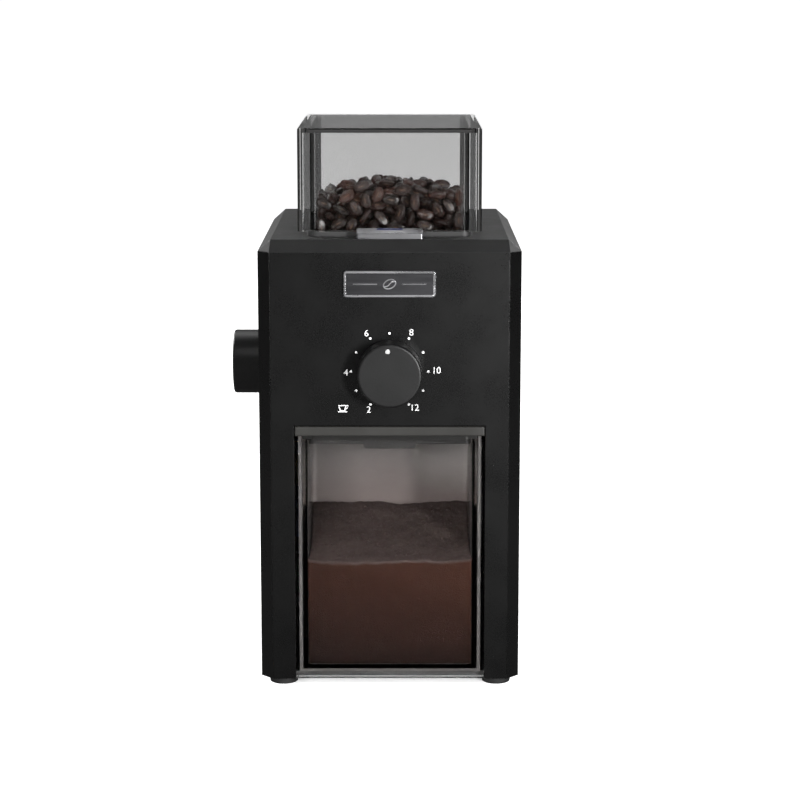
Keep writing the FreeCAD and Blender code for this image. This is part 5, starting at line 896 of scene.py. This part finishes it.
def print_look(name, colour):
    p = Paint(name)
    worn = tuple(c * 0.86 for c in colour)
    p.set("Base Color", p.ramp(p.noise(900, 4), [(0.3, worn), (0.6, colour)]))
    p.set("Roughness", p.span(p.noise(1500, 3), 0.42, 0.6))
    p.bumps((p.noise(2500, 2), 0.3, 0.00002))
    return p.material


def make_dial_print():
    face_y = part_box("front_panel")[0][1]
    dots = [math.radians(a) for a in DOT_ANGLES]
    outlines = [disc(DOT_RING * math.cos(a), DOT_RING * math.sin(a), DOT_RADIUS) for a in dots]
    for width, path in CUP_STROKES:
        outlines += stroke([(CUP_AT[0] + x, CUP_AT[1] + z) for x, z in path], width)
    flat = slab(outlines, PRINT_PROUD, "dial_flat")
    parts = [(flat, Matrix.Identity(4))] + [number_mesh(t, x, z) for t, (x, z) in NUMBERS.items()]
    whole = joined(parts, "dial_marks")
    whole.transform(Matrix.Translation((DIAL_CENTRE[0] * MM, face_y, DIAL_CENTRE[2] * MM)))
    white = print_look("print_white", (0.72, 0.72, 0.72))
    piece("dial_marks", whole, white, "housing", smooth=False)


# The paint-filled dimple on the cup dial, in millimetres.
POINTER_RADIUS, POINTER_RINGS, POINTER_STEPS = 1.12, 5, 28
POINTER_DEEP, POINTER_DOME, POINTER_SKIRT = 0.36, 0.12, 0.02  # the paint's edge, its bulge, its underside
POINTER_AT = (-0.8, 11.2)  # from the dial's centre


def make_pointer():
    low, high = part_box("cup_knob")
    rings, steps = POINTER_RINGS, POINTER_STEPS
    circle = disc(0, 0, 1.0, steps)
    points = [(0, POINTER_DEEP - POINTER_DOME, 0)]
    for i in range(1, rings + 1):
        share = i / rings
        depth = POINTER_DEEP - POINTER_DOME * (1 - share ** 2)
        points += [(POINTER_RADIUS * share * x, depth, POINTER_RADIUS * share * z) for x, z in circle]
    points += [(POINTER_RADIUS * x, POINTER_DEEP + POINTER_SKIRT, POINTER_RADIUS * z) for x, z in circle]
    faces = [(0, 1 + k, 1 + (k + 1) % steps) for k in range(steps)]
    for i in range(rings):
        a, b = 1 + i * steps, 1 + (i + 1) * steps
        faces += [(a + k, b + k, b + (k + 1) % steps, a + (k + 1) % steps) for k in range(steps)]
    faces.append(tuple(1 + rings * steps + k for k in range(steps)))
    x, z = ((low[axis] + high[axis]) / 2 for axis in (0, 2))
    centre = Vector((x + POINTER_AT[0] * MM, low[1], z + POINTER_AT[1] * MM))
    placed = [Vector(point) * MM + centre for point in points]
    mesh = outward(mesh_from("dial_pointer", placed, faces))
    piece("dial_pointer", mesh, print_look("print_grey", (0.42, 0.42, 0.42)), "cup_dial")


# The plate's raised rim, the bean with its seam and the line on each side, in millimetres.
TRIM_PROUD = 0.14
RIM_CORNER, RIM_INSET, RIM_WIDTH = 1.6, 0.80, 0.95
BEAN_MARK, BEAN_LINE, BEAN_TILT = (2.9, 1.95), 0.5, 24
SEAM_HALF, SEAM_SWAY, SEAM_TURNS, SEAM_LINE = 2.6, 0.42, 1.15, 0.45
SIDE_LINE, SIDE_WIDTH = (5.6, 16.6), 0.4


def make_badge_trim():
    low, high = (c / MM for c in map(Vector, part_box("badge_plate")))
    middle, half = (low + high) / 2, (high - low) / 2
    ring = []
    for sx, sz, first in ((1, 1, 0), (-1, 1, 90), (-1, -1, 180), (1, -1, 270)):
        x, z = (half[0] - RIM_CORNER) * sx, (half[2] - RIM_CORNER) * sz
        for a in (math.radians(first + 15 * k) for k in range(7)):
            reach = RIM_CORNER - RIM_INSET
            ring.append((x + reach * math.cos(a), z + reach * math.sin(a)))
    bean = [(BEAN_MARK[0] * x, BEAN_MARK[1] * z) for x, z in disc(0, 0, 1.0, 40)]
    seam = [(x, SEAM_SWAY * math.sin(x * SEAM_TURNS)) for x in np.linspace(-SEAM_HALF, SEAM_HALF, 17)]
    c, s = math.cos(math.radians(BEAN_TILT)), math.sin(math.radians(BEAN_TILT))
    bean, seam = ([(x * c - z * s, x * s + z * c) for x, z in path] for path in (bean, seam))
    outlines = stroke(ring, RIM_WIDTH, closed=True) + stroke(bean, BEAN_LINE, closed=True)
    outlines += stroke(seam, SEAM_LINE)
    for side in (-1, 1):
        outlines += stroke([(side * x, 0) for x in SIDE_LINE], SIDE_WIDTH)
    mesh = slab(outlines, TRIM_PROUD, "badge_trim")
    mesh.transform(Matrix.Translation((middle[0] * MM, low[1] * MM, middle[2] * MM)))
    look = metal("badge_trim_metal", (0.74, 0.74, 0.76), 0.28, brush=(0.05, 1, 1))
    piece("badge_trim", mesh, look, "housing", smooth=False)


# Lengths in millimetres.
BUTTON_SLOPE = ((-61.5, 212.7), (-57.0, 214.9))  # front and rear edge of the button's sloping face, as (y, z)
LINE_HALF, LINE_WIDE, LINE_PROUD, LINE_STEPS = 6.0, 1.0, 0.06, 12
LINE_FROM_REAR, LINE_LIFT = 1.35, 0.01


def make_button_line():
    """The dark blue line printed along the start button's upper edge."""
    low, high = (c / MM for c in map(Vector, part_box("start_button")))
    (front_y, front_z), (rear_y, rear_z) = BUTTON_SLOPE
    slope = math.atan2(rear_z - front_z, rear_y - front_y)
    end = LINE_WIDE / 2
    outline = []
    for side, start in ((1, -90), (-1, 90)):
        for k in range(LINE_STEPS + 1):
            a = math.radians(start + 180 * k / LINE_STEPS)
            outline.append((side * (LINE_HALF - end) + end * math.cos(a), end * math.sin(a)))
    mesh = slab([outline], LINE_PROUD, "button_line")
    lie = Matrix.Rotation(slope - math.pi / 2, 4, "X")
    y = rear_y - LINE_FROM_REAR * math.cos(slope)
    z = rear_z - LINE_FROM_REAR * math.sin(slope) + LINE_LIFT
    mesh.transform(Matrix.Translation(Vector(((low[0] + high[0]) / 2, y, z)) * MM) @ lie)
    blue = print_look("print_blue", (0.004, 0.007, 0.060))
    piece("button_line", mesh, blue, "button", smooth=False)


def make_button_coil():
    """The start button's spring: a copy of the CAD spring's mesh on the housing, in place of the hidden CAD
    node.
    """
    node = NODES["button_spring"]
    coil = piece("button_coil", node.data.copy(), SLOT_LOOKS["shaft_steel"], "housing")
    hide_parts("button_spring")
    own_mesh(coil)


make_beans()
make_grounds()
make_dial_print()
make_pointer()
make_badge_trim()
make_button_line()
make_button_coil()

# ---------------------------------------------------------------- looks of the CAD nodes
for part in frame["record"]["subparts"]:
    node = NODES[part["node"]]
    look = NODE_LOOKS.get(part["node"]) or SLOT_LOOKS[part["material_slot"]]
    for slot in node.material_slots:
        slot.material = look
